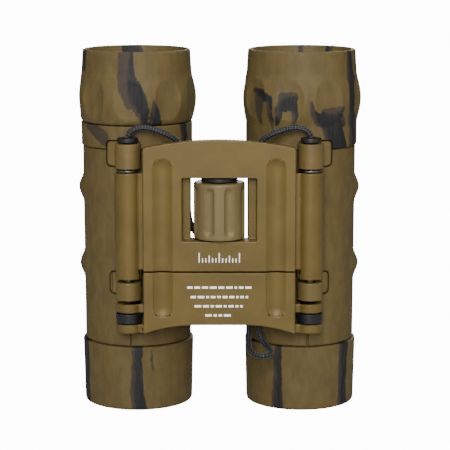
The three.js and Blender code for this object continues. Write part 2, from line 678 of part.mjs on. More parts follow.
// An upright strip with round ends, one layer of cord thick.
function cordHank() {
  const layers = hankTurns.map((turns, layer) => {
    const reach = foldRadius + (turns - 0.5) * 2 * cordRadius;
    const front = hankFront + layer * 2 * cordRadius;
    const strip = new THREE.Shape();
    strip.absarc(0, hankBottom + reach, reach, Math.PI, 2 * Math.PI);
    strip.absarc(0, hankTop - reach, reach, 0, Math.PI);
    return plate(strip, [front, front + 2 * cordRadius]);
  });
  return union(layers);
}

// The hank's convex section seen from above, grown by some thickness.
function hankSection(grow) {
  const reach = (turns) => foldRadius + (turns - 0.5) * 2 * cordRadius + grow;
  const wide = reach(hankTurns[0]);
  const narrow = reach(hankTurns.at(-1));
  const front = hankFront - grow;
  const shoulder = hankFront + 2 * cordRadius + 0.4 * grow;
  const back = hankFront + hankTurns.length * 2 * cordRadius + grow;
  const right = [[wide, front], [wide, shoulder], [narrow, back]];
  return [...right, ...right.map(([x, y]) => [-x, y]).reverse()];
}

function cordTie() {
  const outline = (grow) => hankSection(grow).map(([x, y]) => new THREE.Vector2(x, y));
  const band = new THREE.Shape(outline(gap + tieThickness));
  band.holes.push(new THREE.Path(outline(gap)));
  const geometry = new THREE.ExtrudeGeometry(band, { depth: tieHeight, bevelEnabled: false });
  return solid(geometry.translate(0, 0, (hankBottom + hankTop - tieHeight) / 2));
}

// ---- Assembly --------------------------------------------------------------------------------------------

const binoculars = new THREE.Group();

add(binoculars, 'upper_bridge', upperBridge(), bridgePaint);
add(binoculars, 'lower_bridge', lowerBridge(), bridgePaint);
add(binoculars, 'focus_nut', focusNut(), brass);
add(binoculars, 'focus_wheel', focusWheel(), wheelPaint);
add(binoculars, 'wheel_collar', ring(spindleBore, collarRingRadius, wheelTop + gap, windowTop - gap)
  .translate([0, hingeY, 0]), blackPlastic);
add(binoculars, 'focus_spindle', rod(spindleRadius, spindleBottom, spindleTop, 0, hingeY, pinSides), steel);

for (const side of [-1, 1]) {
  const tag = side < 0 ? 'left' : 'right';
  const x = side * hingeHalfSpacing;
  const plugBottom = upperKnuckle[1] + gap;
  const onHinge = [x, hingeY];
  add(binoculars, `hinge_pin_${tag}`, rod(pinRadius, lowerKnuckle[0] + gap, upperKnuckle[1], ...onHinge,
    pinSides), steel);
  add(binoculars, `hinge_washer_${tag}`, ring(pinBore, knuckleRadius - gap, hingeTube[1] + gap,
    upperKnuckle[0] - gap).translate([...onHinge, 0]), steel);
  add(binoculars, `strap_plug_${tag}`, rod(plugRadius, plugBottom, plugBottom + plugHeight, ...onHinge),
    blackPlastic);
  add(binoculars, `ear_pin_${tag}`, rod(earPinRadius, lowerEar[0] + earPinEnd + gap, upperEar[1] - gap,
    ...onHinge, pinSides), steel);

  const barrel = new THREE.Group();
  barrel.position.x = side * axisHalfSpacing;
  barrel.rotation.z = side * restAngle;
  binoculars.add(barrel);
  add(barrel, `barrel_tube_${tag}`, barrelTube(side), barrelPaint);
  add(barrel, `armour_${tag}`, armour(side), armourRubber);
  add(barrel, `objective_sleeve_${tag}`, objectiveSleeve(), armourRubber);
  addObjective(barrel, tag);
  addPrisms(barrel, tag);
  addEyepiece(barrel, barrel, tag);
  if (side < 0) {
    add(barrel, 'eyepiece_collar_left', fixedCollar(side), armourRubber);
    add(barrel, 'eyecup_left', turningEyecup(), armourRubber);
    add(barrel, 'dioptre_sleeve', ring(dioptreSleeveInner, dioptreSleeveOuter, dioptreLine + gap,
      housingTop), blackMetal);
  } else {
    add(barrel, 'eyecup_right', fixedEyecup(side), armourRubber);
  }
}

add(binoculars, 'cord_lead_left', cordTube([...leadStart, ...leftEnd], -1), cordBlack);
add(binoculars, 'cord_lead_right', cordTube([...leadStart, ...rightEnd], 1), cordBlack);
add(binoculars, 'cord_hank', cordHank(), cordBlack);
add(binoculars, 'cord_tie', cordTie(), blackPlastic);

// The origin goes to the middle of the base, measured without the cord.
binoculars.updateMatrixWorld(true);
const box = new THREE.Box3();
binoculars.traverse((piece) => {
  if (piece.isMesh && !piece.name.startsWith('cord')) box.expandByObject(piece, true);
});
const centre = box.getCenter(new THREE.Vector3());
binoculars.position.set(-centre.x, -centre.y, -box.min.z);

export default binoculars;
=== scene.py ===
"""Compact folding binoculars: the looks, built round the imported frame, in metres."""
import json
import math
import random

import bmesh
import bpy
import numpy as np
from bpy.props import FloatProperty, FloatVectorProperty, IntProperty, PointerProperty
from mathutils import Matrix, Vector


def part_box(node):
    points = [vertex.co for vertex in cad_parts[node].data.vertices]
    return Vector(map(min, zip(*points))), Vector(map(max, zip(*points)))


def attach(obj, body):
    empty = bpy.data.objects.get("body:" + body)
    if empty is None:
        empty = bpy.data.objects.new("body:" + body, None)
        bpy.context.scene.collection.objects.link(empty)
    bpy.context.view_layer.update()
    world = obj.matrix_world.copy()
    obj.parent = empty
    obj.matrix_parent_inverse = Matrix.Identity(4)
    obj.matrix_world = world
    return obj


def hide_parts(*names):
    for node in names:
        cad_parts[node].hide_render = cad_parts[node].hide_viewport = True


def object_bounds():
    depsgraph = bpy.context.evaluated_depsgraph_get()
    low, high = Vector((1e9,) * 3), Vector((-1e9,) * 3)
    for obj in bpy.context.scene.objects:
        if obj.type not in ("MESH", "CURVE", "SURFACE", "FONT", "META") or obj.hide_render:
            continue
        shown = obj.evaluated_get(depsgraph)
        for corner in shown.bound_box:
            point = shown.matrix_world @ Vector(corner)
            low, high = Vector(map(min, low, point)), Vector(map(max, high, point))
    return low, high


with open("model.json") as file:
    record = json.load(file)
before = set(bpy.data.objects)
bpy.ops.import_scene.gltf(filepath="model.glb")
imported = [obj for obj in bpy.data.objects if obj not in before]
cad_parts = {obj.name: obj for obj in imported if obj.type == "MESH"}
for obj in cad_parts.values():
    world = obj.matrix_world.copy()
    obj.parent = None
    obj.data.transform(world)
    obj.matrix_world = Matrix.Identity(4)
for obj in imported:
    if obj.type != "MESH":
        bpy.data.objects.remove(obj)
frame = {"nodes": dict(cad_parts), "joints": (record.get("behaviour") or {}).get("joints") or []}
CAD_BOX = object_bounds()

bl_info = {
    "name": "Compact binoculars",
    "version": (1, 0, 0),
    "blender": (4, 5, 0),
    "location": "View3D > Sidebar > Binoculars",
    "description": "Builds compact folding binoculars with camouflaged rubber round their packed frame",
    "category": "Add Mesh",
}

# ---- Places taken from the frame; shapes are worked out in millimetres and made metres when they are placed 

MM = 0.001
CLEARANCE = 0.3                 # room round pins and ears, and round the hank in its tie
SIDES = ("left", "right")
JOINTS = {joint["name"]: joint for joint in frame["joints"]}
HINGE = {tag: Vector(JOINTS[tag + "_fold"]["pos_m"]) / MM for tag in SIDES}
WHEEL_AXIS = Vector(JOINTS["focus_turn"]["pos_m"]) / MM
FOCUS_TRAVEL = JOINTS["focus_slide"]["range_m"][1] / MM


def box_mm(node):
    low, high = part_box(node)
    return low / MM, high / MM


def span(node):
    """Bottom and top of a node."""
    low, high = box_mm(node)
    return low.z, high.z


def middle_of(node):
    low, high = box_mm(node)
    return (low + high) / 2


BARREL = {tag: middle_of("eyepiece_housing_" + tag) for tag in SIDES}
HINGE_ARM = (BARREL["left"] - HINGE["left"]).xy.length
SIGN = {"left": -1, "right": 1}


def barrel_place(tag):
    """From a barrel's own axes, with its hinge on -Y, to the frame."""
    arm = BARREL[tag] - HINGE[tag]
    turn = math.atan2(-arm.x, arm.y)
    return Matrix.Translation((BARREL[tag].x, BARREL[tag].y, 0)) @ Matrix.Rotation(turn, 4, "Z")


# ---- Shapes: every function gives a bmesh in millimetres -----------------------------------------


def rounded(corners, steps=5):
    """A closed outline whose corners (u, v, radius) are rounded off."""
    points = []
    for i, (u, v, radius) in enumerate(corners):
        corner = Vector((u, v))
        before = Vector(corners[i - 1][:2]) - corner
        after = Vector(corners[(i + 1) % len(corners)][:2]) - corner
        half = before.angle(after) / 2 if radius else 0
        if not radius or half > 1.55:
            points.append((u, v))
            continue
        reach = min(radius / math.tan(half), 0.48 * before.length, 0.48 * after.length)
        start, end = corner + before.normalized() * reach, corner + after.normalized() * reach
        for k in range(steps + 1):
            t = k / steps
            points.append(tuple(start * (1 - t) ** 2 + corner * (2 * t * (1 - t)) + end * t * t))
    return points


def dense(points, step, closed=True):
    """The outline with points no further apart than step."""
    out = []
    for i in range(len(points) if closed else len(points) - 1):
        a, b = Vector(points[i]), Vector(points[(i + 1) % len(points)])
        count = max(1, math.ceil((b - a).length / step))
        out += [tuple(a.lerp(b, k / count)) for k in range(count)]
    return out if closed else out + [points[-1]]


def turned(profile, steps=96):
    """A closed (radius, height) profile turned round the Z axis."""
    bm = bmesh.new()
    verts = [bm.verts.new((r, 0, z)) for r, z in profile]
    edges = [bm.edges.new((verts[i - 1], verts[i])) for i in range(len(verts))
             if profile[i - 1][0] or profile[i][0]]
    bmesh.ops.spin(bm, geom=verts + edges, cent=(0, 0, 0), axis=(0, 0, 1), angle=2 * math.pi, steps=steps,
                   use_merge=True, use_duplicate=False)
    merge = 1e-4
    bmesh.ops.remove_doubles(bm, verts=bm.verts, dist=merge)
    bmesh.ops.dissolve_degenerate(bm, edges=bm.edges, dist=merge)
    bmesh.ops.recalc_face_normals(bm, faces=bm.faces)
    return bm


def rod(radius, bottom, top, x=0.0, y=0.0, steps=64):
    bm = bmesh.new()
    place = Matrix.Translation((x, y, (bottom + top) / 2))
    bmesh.ops.create_cone(bm, cap_ends=True, cap_tris=False, segments=steps, radius1=radius, radius2=radius,
                          depth=top - bottom, matrix=place)
    return bm


def block(x, y, z):
    bm = bmesh.new()
    centre = Matrix.Translation(((x[0] + x[1]) / 2, (y[0] + y[1]) / 2, (z[0] + z[1]) / 2))
    size = Matrix.Diagonal((abs(x[1] - x[0]), abs(y[1] - y[0]), abs(z[1] - z[0]), 1))
    bmesh.ops.create_cube(bm, size=1, matrix=centre @ size)
    return bm


def ball(radius, centre, steps=48):
    bm = bmesh.new()
    bmesh.ops.create_uvsphere(bm, u_segments=steps, v_segments=steps // 2, radius=radius,
                              matrix=Matrix.Translation(centre))
    return bm


def thickened(bm, vec):
    """Flat faces made solid along vec."""
    new = bmesh.ops.extrude_face_region(bm, geom=list(bm.faces))["geom"]
    bmesh.ops.translate(bm, vec=vec, verts=[v for v in new if isinstance(v, bmesh.types.BMVert)])
    bmesh.ops.recalc_face_normals(bm, faces=bm.faces)
    return bm


def slab(outline, depth):
    """An outline in X and Z made solid from one Y to another."""
    bm = bmesh.new()
    bm.faces.new([bm.verts.new((x, depth[0], z)) for x, z in outline])
    return thickened(bm, (0, depth[1] - depth[0], 0))


def together(*shapes):
    """Several separate shapes in one bmesh."""
    whole = bmesh.new()
    for shape in shapes:
        mesh = bpy.data.meshes.new("part")
        shape.to_mesh(mesh)
        whole.from_mesh(mesh)
        bpy.data.meshes.remove(mesh)
    return whole


def moved(shape, matrix):
    bmesh.ops.transform(shape, matrix=matrix, verts=shape.verts)
    return shape


def boolean(operation, base, cutters):
    """base joined with, cut by or kept inside each cutter in turn."""
    objects = []
    for shape in (base, *cutters):
        mesh = bpy.data.meshes.new("work")
        shape.to_mesh(mesh)
        objects.append(bpy.data.objects.new("work", mesh))
        bpy.context.scene.collection.objects.link(objects[-1])
    holder = objects[0]
    for tool in objects[1:]:
        modifier = holder.modifiers.new("boolean", "BOOLEAN")
        modifier.operation = operation
        modifier.object = tool
        modifier.solver = "EXACT"
    done = holder.evaluated_get(bpy.context.evaluated_depsgraph_get())
    out = bmesh.new()
    out.from_mesh(done.to_mesh())
    done.to_mesh_clear()
    for obj in objects:
        mesh = obj.data
        bpy.data.objects.remove(obj)
        bpy.data.meshes.remove(mesh)
    return out


def joined(base, *others):
    return boolean("UNION", base, others)


def less(base, *cutters):
    return boolean("DIFFERENCE", base, cutters)


def common(base, other):
    return boolean("INTERSECT", base, [other])


def flattened(shape, angle=math.radians(0.8), merge=0.01):
    """Joins the pieces of flat faces that booleans leave, so that a bevel runs evenly."""
    bmesh.ops.remove_doubles(shape, verts=shape.verts, dist=merge)
    bmesh.ops.dissolve_limit(shape, angle_limit=angle, use_dissolve_boundaries=False, verts=shape.verts,
                             edges=shape.edges, delimit=set())
    return shape


def piece(name, shape, body, material, replaces=(), bevel=0.0, sharp=35, segments=3, colour=None):
    """A finished piece in the frame, with its edges rounded, on its body and in place of its nodes."""
    moved(shape, Matrix.Scale(MM, 4))
    mesh = bpy.data.meshes.new(name)
    shape.to_mesh(mesh)
    mesh.shade_smooth()
    mesh.set_sharp_from_angle(angle=math.radians(sharp))
    obj = bpy.data.objects.new(name, mesh)
    bpy.context.scene.collection.objects.link(obj)
    mesh.materials.append(material)
    if bevel:
        edge = obj.modifiers.new("edges", "BEVEL")
        edge.width = bevel * MM
        edge.segments = segments
        edge.limit_method = "ANGLE"
        edge.angle_limit = math.radians(sharp - 5)
        edge.use_clamp_overlap = False
        edge.miter_outer = "MITER_ARC"
        normals = obj.modifiers.new("normals", "WEIGHTED_NORMAL")
        normals.keep_sharp = False
        mesh.shade_smooth()
    if colour:
        colour(mesh)
    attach(obj, body)
    if replaces:
        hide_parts(*replaces)
    return obj


# ---- Shader maths --------------------------------------------------------------------------------


class Value:
    """A number socket that can be used in Python sums."""

    def __init__(self, shader, socket):
        self.shader, self.socket = shader, socket

    def _math(self, operation, a, b):
        return self.shader.node("ShaderNodeMath", {"operation": operation}, {0: a, 1: b})

    def __add__(self, other):
        return self._math("ADD", self, other)

    __radd__ = __add__

    def __sub__(self, other):
        return self._math("SUBTRACT", self, other)

    def __rsub__(self, other):
        return self._math("SUBTRACT", other, self)

    def __mul__(self, other):
        return self._math("MULTIPLY", self, other)

    __rmul__ = __mul__

    def between(self, low, high):
        """0 below low, 1 above high and a smooth rise between them."""
        settings = {"interpolation_type": "SMOOTHSTEP"}
        return self.shader.node("ShaderNodeMapRange", settings, {0: self, 1: low, 2: high, 3: 0.0, 4: 1.0})


def linear(rgb):
    """An sRGB colour of 0 to 255 as the linear RGBA that shaders take."""
    parts = [c / 255 for c in rgb]
    return (*(c / 12.92 if c <= 0.04045 else ((c + 0.055) / 1.055) ** 2.4 for c in parts), 1.0)


class Shader:
    """One procedural material round a Principled shader."""

    def __init__(self, name, **constants):
        self.material = bpy.data.materials.new(name)
        self.material.use_nodes = True
        self.tree = self.material.node_tree
        self.skin = self.tree.nodes["Principled BSDF"]
        for socket, value in constants.items():
            self.skin.inputs[socket.replace("_", " ")].default_value = value

    def node(self, kind, settings=None, inputs=None, output=0):
        made = self.tree.nodes.new(kind)
        for key, value in (settings or {}).items():
            setattr(made, key, value)
        for key, value in (inputs or {}).items():
            if isinstance(value, Value):
                self.tree.links.new(value.socket, made.inputs[key])
            else:
                made.inputs[key].default_value = value
        return Value(self, made.outputs[output])

    def place(self, stretch=(1, 1, 1)):
        """Object coordinates in millimetres, stretched."""
        coords = self.node("ShaderNodeTexCoord", output="Object")
        scale = [s / MM for s in stretch]
        return self.node("ShaderNodeMapping", None, {"Vector": coords, "Scale": scale})

    def noise(self, size, detail=3.0, stretch=(1, 1, 1), roughness=0.55):
        """Noise of about that size in millimetres, from 0 to 1."""
        inputs = {"Vector": self.place(stretch), "Scale": 1 / size, "Detail": detail, "Roughness": roughness}
        return self.node("ShaderNodeTexNoise", None, inputs)

    def grains(self, size):
        inputs = {"Vector": self.place(), "Scale": 1 / size, "Randomness": 1.0}
        return self.node("ShaderNodeTexVoronoi", {"feature": "F1"}, inputs)

    def attribute(self, name):
        return self.node("ShaderNodeAttribute", {"attribute_name": name}, output="Fac")

    def mix(self, share, a, b):
        """Colour a where share is 0 and colour b where it is 1."""
        return self.node("ShaderNodeMix", {"data_type": "RGBA"}, {0: share, 6: a, 7: b}, output=2)

    def finish(self, base=None, roughness=None, height=None, lift=0.02):
        """Links what varies; height is in shares of lift millimetres."""
        for socket, value in (("Base Color", base), ("Roughness", roughness)):
            if isinstance(value, Value):
                self.tree.links.new(value.socket, self.skin.inputs[socket])
            elif value is not None:
                self.skin.inputs[socket].default_value = value
        if height is not None:
            inputs = {"Height": height, "Distance": lift * MM, "Strength": 1.0}
            bump = self.node("ShaderNodeBump", None, inputs)
            self.tree.links.new(bump.socket, self.skin.inputs["Normal"])
        return self.material


def shade(rgb, factor):
    return tuple(max(0, min(255, c * factor)) for c in rgb)


# ---- Settings that a user would change -----------------------------------------------------------


def colour_setting(name, description, rgb):
    return FloatVectorProperty(name=name, description=description, subtype="COLOR", size=3, min=0, max=255,
                               default=rgb)


def length_setting(name, description, value):
    return FloatProperty(name=name, description=description, default=value * MM, unit="LENGTH", precision=5)


class FinishSettings(bpy.types.PropertyGroup):
    """Colours, as sRGB values of 0 to 255."""
    bridge: colour_setting("Bridge paint", "Satin paint of the two bridge plates", (107, 89, 42))
    barrel: colour_setting("Knuckle paint", "Satin paint of the hinge knuckles", (112, 94, 52))
    wheel: colour_setting("Wheel", "Paint of the focus wheel", (120, 105, 67))
    rubber: colour_setting("Rubber", "Ground colour of the rubber armour", (98, 84, 47))
    patch: colour_setting("Camouflage patch", "Dark core of the camouflage patches", (33, 33, 33))
    halo: colour_setting("Camouflage halo", "Brown side of the camouflage patches", (66, 56, 46))
    ink: colour_setting("Printed marks", "Ink of the scales on the bridge", (232, 230, 222))


class BridgeSettings(bpy.types.PropertyGroup):
    """The two plates between the hinges."""
    edge: length_setting("Edge", "Rounding of the plates' edges", 0.32)
    groove_width: length_setting("Groove width", "Width of the two thumb grooves", 5.8)
    groove_depth: length_setting("Groove depth", "Depth of the two thumb grooves", 0.9)
    lip: length_setting("Lip", "Thickness of the thin top edge", 3.0)
    ink_height: length_setting("Ink height", "Height of the printed marks over the paint", 0.04)


class WheelSettings(bpy.types.PropertyGroup):
    """The focus wheel."""
    flutes: IntProperty(name="Flutes", description="Number of finger flutes", default=8, min=3)
    flute_width: length_setting("Flute width", "Width of a flute", 3.1)
    flute_depth: length_setting("Flute depth", "Depth of a flute", 1.0)
    flute_length: length_setting("Flute length", "Length of a flute", 14.6)


class RubberSettings(bpy.types.PropertyGroup):
    """Armour, sleeves and eyecups."""
    scallops: IntProperty(name="Scallops", description="Thumb hollows round an eyecup", default=9, min=3)
    scallop_width: length_setting("Scallop width", "Width of a thumb hollow", 9.2)
    scallop_height: length_setting("Scallop height", "Height of a thumb hollow", 14.0)
    scallop_depth: length_setting("Scallop depth", "Depth of a thumb hollow", 1.2)
    bump_rise: length_setting("Grip bump", "Height of the grip bumps on the flanks", 1.5)
    bump_length: length_setting("Bump length", "Length of a grip bump along the barrel", 9.0)
    bump_breadth: length_setting("Bump breadth", "Breadth of a grip bump round the barrel", 18.0)


class CordSettings(bpy.types.PropertyGroup):
    """The braided neck cord."""
    diameter: length_setting("Diameter", "Diameter of the cord", 1.8)
    weave: length_setting("Weave", "Height of the braid's strands", 0.14)


def settings():
    return bpy.context.scene.binoculars


class BinocularsSettings(bpy.types.PropertyGroup):
    """All settings of the binoculars."""
    finish: PointerProperty(type=FinishSettings, name="Finish", description="Colours")
    bridge: PointerProperty(type=BridgeSettings, name="Bridge", description="Bridge plates")
    wheel: PointerProperty(type=WheelSettings, name="Wheel", description="Focus wheel")
    rubber: PointerProperty(type=RubberSettings, name="Rubber", description="Armour and eyecups")
    cord: PointerProperty(type=CordSettings, name="Cord", description="Neck cord")


# ---- Materials -----------------------------------------------------------------------------------


def once(maker):
    """A material that is made at its first use and kept."""
    kept = {}

    def get():
        if maker not in kept:
            kept[maker] = maker()
        return kept[maker]
    return get


def satin_paint(name, rgb, metallic=0.15):
    shader = Shader(name, Metallic=metallic, Specular_IOR_Level=0.4)
    cloud = shader.noise(9.0, detail=2)
    speck = shader.noise(0.35, detail=2)
    base = shader.mix(cloud.between(0.3, 0.7), linear(shade(rgb, 0.96)), linear(shade(rgb, 1.04)))
    base = shader.mix(speck.between(0.55, 0.8) * 0.25, base, linear(shade(rgb, 0.8)))
    roughness = 0.38 + 0.1 * cloud + 0.08 * speck
    return shader.finish(base, roughness, shader.noise(0.25, detail=2), 0.006)


@once
def bridge_paint():
    return satin_paint("bridge_paint", settings().finish.bridge)


@once
def barrel_paint():
    return satin_paint("barrel_paint", settings().finish.barrel)


@once
def wheel_paint():
    return satin_paint("wheel_paint", settings().finish.wheel, metallic=0.1)


def rubber_ground(shader):
    """Colour of plain rubber, mottled as a dipped print is."""
    rgb = settings().finish.rubber
    mottle = shader.noise(2.6, detail=4, stretch=(1, 1, 0.45))
    cloud = shader.noise(11.0, detail=2)
    base = shader.mix(mottle.between(0.3, 0.7), linear(shade(rgb, 0.93)), linear(shade(rgb, 1.06)))
    warm = (rgb[0] * 1.05, rgb[1] * 0.97, rgb[2] * 0.9)
    return shader.mix(cloud.between(0.45, 0.75) * 0.5, base, linear(warm))


def rubber_grain(shader):
    return shader.grains(0.32) * 0.6 + shader.noise(0.2, detail=3) * 0.6


@once
def plain_rubber():
    shader = Shader("armour_rubber", Specular_IOR_Level=0.35)
    roughness = 0.62 + 0.1 * shader.noise(1.2)
    return shader.finish(rubber_ground(shader), roughness, rubber_grain(shader), 0.02)


@once
def camo_rubber():
    shader = Shader("camouflaged_rubber", Specular_IOR_Level=0.35)
    ragged = (shader.noise(1.1, detail=4, stretch=(1, 1, 0.35)) - 0.5) * 1.5
    fine = (shader.noise(0.35, detail=2, stretch=(1, 1, 0.25)) - 0.5) * 0.5
    patch = (shader.attribute("patch") + ragged + fine).between(-0.12, 0.18)
    core = (shader.attribute("core") + ragged * 1.6).between(-0.9, 0.7)
    streaks = shader.noise(0.7, detail=3, stretch=(1, 1, 0.1)).between(0.35, 0.7)
    rgb = settings().finish.patch
    dark = shader.mix(streaks, linear(shade(rgb, 0.85)), linear(shade(rgb, 1.25)))
    ink = shader.mix(core, linear(settings().finish.halo), dark)
    base = shader.mix(patch, rubber_ground(shader), ink)
    roughness = 0.6 + 0.1 * shader.noise(1.2)
    return shader.finish(base, roughness, rubber_grain(shader), 0.02)


def plastic(name, rgb, roughness=0.42, **constants):
    shader = Shader(name, **constants)
    cloud = shader.noise(3.0)
    base = shader.mix(cloud, linear(shade(rgb, 0.85)), linear(shade(rgb, 1.15)))
    return shader.finish(base, roughness + 0.12 * cloud, shader.noise(0.3, detail=2), 0.006)


@once
def black_plastic():
    return plastic("black_plastic", (20, 21, 23))


@once
def black_metal():
    return plastic("black_metal", (22, 23, 25), 0.35, Metallic=0.6)


@once
def steel():
    return plastic("steel", (118, 114, 106), 0.3, Metallic=1.0)


@once
def brass():
    return plastic("brass", (181, 153, 77), 0.3, Metallic=1.0)


@once
def white_ink():
    # The ink is given a slight glow: painted light that keeps the marks bright.
    glow = {"Emission_Color": (1, 1, 1, 1), "Emission_Strength": 0.7}
    return plastic("white_ink", settings().finish.ink, 0.5, **glow)


@once
def prism_glass():
    shader = Shader("prism_glass", IOR=1.57, Transmission_Weight=1.0)
    return shader.finish(linear((214, 232, 226)), 0.03 + 0.03 * shader.noise(6.0))


@once
def coated_lens():
    """Dark glass with a painted reflection of its coating: violet in the middle and green towards the edge, following
    the angle it is seen at.
    """
    shader = Shader("coated_lens", IOR=1.8, Coat_Weight=1.0, Coat_Roughness=0.02)
    edge = shader.node("ShaderNodeLayerWeight", None, {"Blend": 0.35}, output="Facing")
    painted_coating_reflection = shader.mix(edge.between(0.15, 0.8), linear((38, 26, 62)), linear((22, 58, 48)))
    return shader.finish(painted_coating_reflection, 0.04 + 0.04 * shader.noise(8.0))


@once
def braid():
    shader = Shader("cord_braid", Specular_IOR_Level=0.4, Sheen_Weight=0.15)
    strand = shader.attribute("strand")
    # Painted highlight and shade of the weave: the raised strand tops are painted light grey and the hollows between
    # them near black.
    base = shader.mix(strand.between(0.5, 0.9), linear((5, 5, 6)), linear((96, 96, 98)))
    fibre = shader.noise(0.12, detail=2, stretch=(1, 1, 1))
    return shader.finish(base, 0.5 + 0.2 * fibre, fibre, 0.02)


# ---- Stage ---------------------------------------------------------------------------------------

CAMERA_PLACE = (1.76, -559.9, 151.4)     # millimetres from the middle of the base
CAMERA_DROP = 9.675                      # degrees below level
FLOOR_SIZE = 30.0                        # metres
WHITE_SEEN = 14.0                        # how bright the surround looks
WORLD_LIGHT = 0.06                       # how much light it gives


def area_light(name, place, target, size, power):
    data = bpy.data.lights.new(name, "AREA")
    data.shape = "RECTANGLE"
    data.size, data.size_y = size
    data.energy = power
    lamp = bpy.data.objects.new(name, data)
    lamp.location = place
    lamp.rotation_euler = (Vector(target) - Vector(place)).to_track_quat("-Z", "Y").to_euler()
    bpy.context.scene.collection.objects.link(lamp)


class BINOCULARS_OT_stage(bpy.types.Operator):
    """Camera, floor, soft lights and a white surround"""
    bl_idname = "binoculars.stage"
    bl_label = "Stage"

    def execute(self, context):
        data = bpy.data.cameras.new("camera")
        data.sensor_width = 36
        data.lens = 147.2
        camera = bpy.data.objects.new("camera", data)
        camera.location = Vector(CAMERA_PLACE) * MM
        camera.rotation_euler = (math.radians(90 - CAMERA_DROP), 0, 0)
        context.scene.collection.objects.link(camera)
        context.scene.camera = camera
        bm = bmesh.new()
        bmesh.ops.create_grid(bm, x_segments=1, y_segments=1, size=FLOOR_SIZE / 2)
        mesh = bpy.data.meshes.new("floor")
        bm.to_mesh(mesh)
        floor = bpy.data.objects.new("floor", mesh)
        context.scene.collection.objects.link(floor)
        shader = Shader("floor", Specular_IOR_Level=0.0, Emission_Color=(1, 1, 1, 1))
        seen = shader.node("ShaderNodeLightPath", output="Is Camera Ray")
        glow = seen * (WHITE_SEEN - 0.6)
        shader.tree.links.new(glow.socket, shader.skin.inputs["Emission Strength"])
        mesh.materials.append(shader.finish(linear((190, 190, 189)), 0.9))
        aim = (0, 0, 0.055)
        area_light("front_light", (-0.05, -0.85, 0.4), aim, (0.3, 0.4), 7.5)
        area_light("top_light", (0.05, -0.2, 0.8), aim, (0.4, 0.4), 2.5)
        area_light("left_light", (-0.7, -0.25, 0.3), aim, (0.15, 0.5), 0.5)
        area_light("right_light", (0.6, -0.45, 0.3), aim, (0.15, 0.5), 0.9)
        area_light("back_light", (0.15, 0.9, 0.4), aim, (0.5, 0.5), 3.5)
        world = bpy.data.worlds.new("surround")
        world.use_nodes = True
        nodes, links = world.node_tree.nodes, world.node_tree.links
        background = nodes["Background"]
        background.inputs["Color"].default_value = (1, 1, 1, 1)
        path = nodes.new("ShaderNodeLightPath")
        strength = nodes.new("ShaderNodeMapRange")
        strength.inputs["To Min"].default_value = WORLD_LIGHT
        strength.inputs["To Max"].default_value = WHITE_SEEN
        links.new(path.outputs["Is Camera Ray"], strength.inputs["Value"])
        links.new(strength.outputs["Result"], background.inputs["Strength"])
        context.scene.world = world
        return {"FINISHED"}


# ---- Neck cord -----------------------------------------------------------------------------------

# The route's points are for the right side; their y is measured from the hinge plane.
LEAD_START = [
    (27.2, 0, 85.5), (26.6, 0, 86.5), (25.2, 0, 87.45), (23.2, 0, 87.95), (20.8, 0, 87.75), (18.2, 0, 86.95),
    (15.6, 0.1, 85.9), (13.2, 0.7, 84.4), (11.4, 1.7, 82.3), (10.3, 2.9, 79.7), (9.7, 3.55, 76.6),
    (9.4, 3.65, 72), (9.4, 3.65, 66.5),
]
LEFT_END = [(9.3, 3.8, 61.5), (8.7, 4.6, 58.4), (7.3, 5.9, 55.5), (5.6, 6.7, 53.9), (4, 7.2, 53.2)]
RIGHT_END = [
    (9.6, 3.65, 61.5), (10.5, 3.55, 56.5), (11.5, 3.5, 51.5), (11.8, 3.5, 46), (11.8, 3.5, 40),
    (11.8, 3.5, 34),
    (11.8, 3.5, 29), (12.1, 3.4, 25.4), (13.2, 2, 22.4), (15, -0.5, 20.7), (15.4, -3.2, 19.7),
    (13.2, -4.7, 19.3), (10.5, -3.4, 19.7), (9.1, -0.6, 20.7), (8.8, 2.2, 22.4), (9, 3.9, 25.3),
    (9, 4.2, 29.8),
]
HANK_LAYERS = [[9.0, 7.2, 5.4], [5.4, 7.2], [5.4]]      # radii of the turns, from the bridge backwards
HANK_FRONT = 4.2                # of the first layer, behind the hinge plane
CORD_STEP = 0.3
CORD_SIDES = 20


def smooth_route(points, step):
    """A centripetal Catmull-Rom curve through the points, sampled every step."""
    points = [Vector(p) for p in points]
    points = [2 * points[0] - points[1]] + points + [2 * points[-1] - points[-2]]
    out = []
    for i in range(1, len(points) - 2):
        p = points[i - 1:i + 3]
        knots = [0.0]
        for a, b in zip(p, p[1:]):
            knots.append(knots[-1] + max(1e-6, (b - a).length) ** 0.5)
        count = max(1, round((p[2] - p[1]).length / step))
        for k in range(count):
            t = knots[1] + (knots[2] - knots[1]) * k / count

            def between(a, b, i0, i1):
                return (a * (knots[i1] - t) + b * (t - knots[i0])) / (knots[i1] - knots[i0])
            first = [between(p[j], p[j + 1], j, j + 1) for j in range(3)]
            second = [between(first[j], first[j + 1], j, j + 2) for j in range(2)]
            out.append(between(second[0], second[1], 1, 2))
    return out + [points[-2]]


def hank_points():
    """Turns of the hank, up on the right and down on the left, from its bottom right corner."""
    low, high = span("cord_hank")
    radius = settings().cord.diameter / 2 / MM
    turns = [(r, HANK_FRONT + 2 * radius * layer, max(radii) + radius)
             for layer, radii in enumerate(HANK_LAYERS) for r in radii]
    points = []
    for i, (r, y, reach) in enumerate(turns):
        last = i == len(turns) - 1
        points += [(r, y, low + reach), (r, y, (low + high) / 2), (r, y, high - reach)]
        steps = 9
        for k in range(1, steps // 2 + 1 if last else steps + 1):
            angle = math.pi * k / steps
            points.append((r * math.cos(angle), y, high - reach + r * math.sin(angle)))
        if last:
            break
        points += [(-r, y, (low + high) / 2), (-r, y, low + reach)]
        next_r, next_y, next_reach = turns[i + 1]
        for k in range(1, steps):
            t = k / steps
            angle = math.pi * (1 + t)
            turn_r, turn_y = r + (next_r - r) * t, y + (next_y - y) * t * t * (3 - 2 * t)
            centre = low + reach + (next_reach - reach) * t
            points.append((turn_r * math.cos(angle), turn_y, centre + turn_r * math.sin(angle)))
    return points


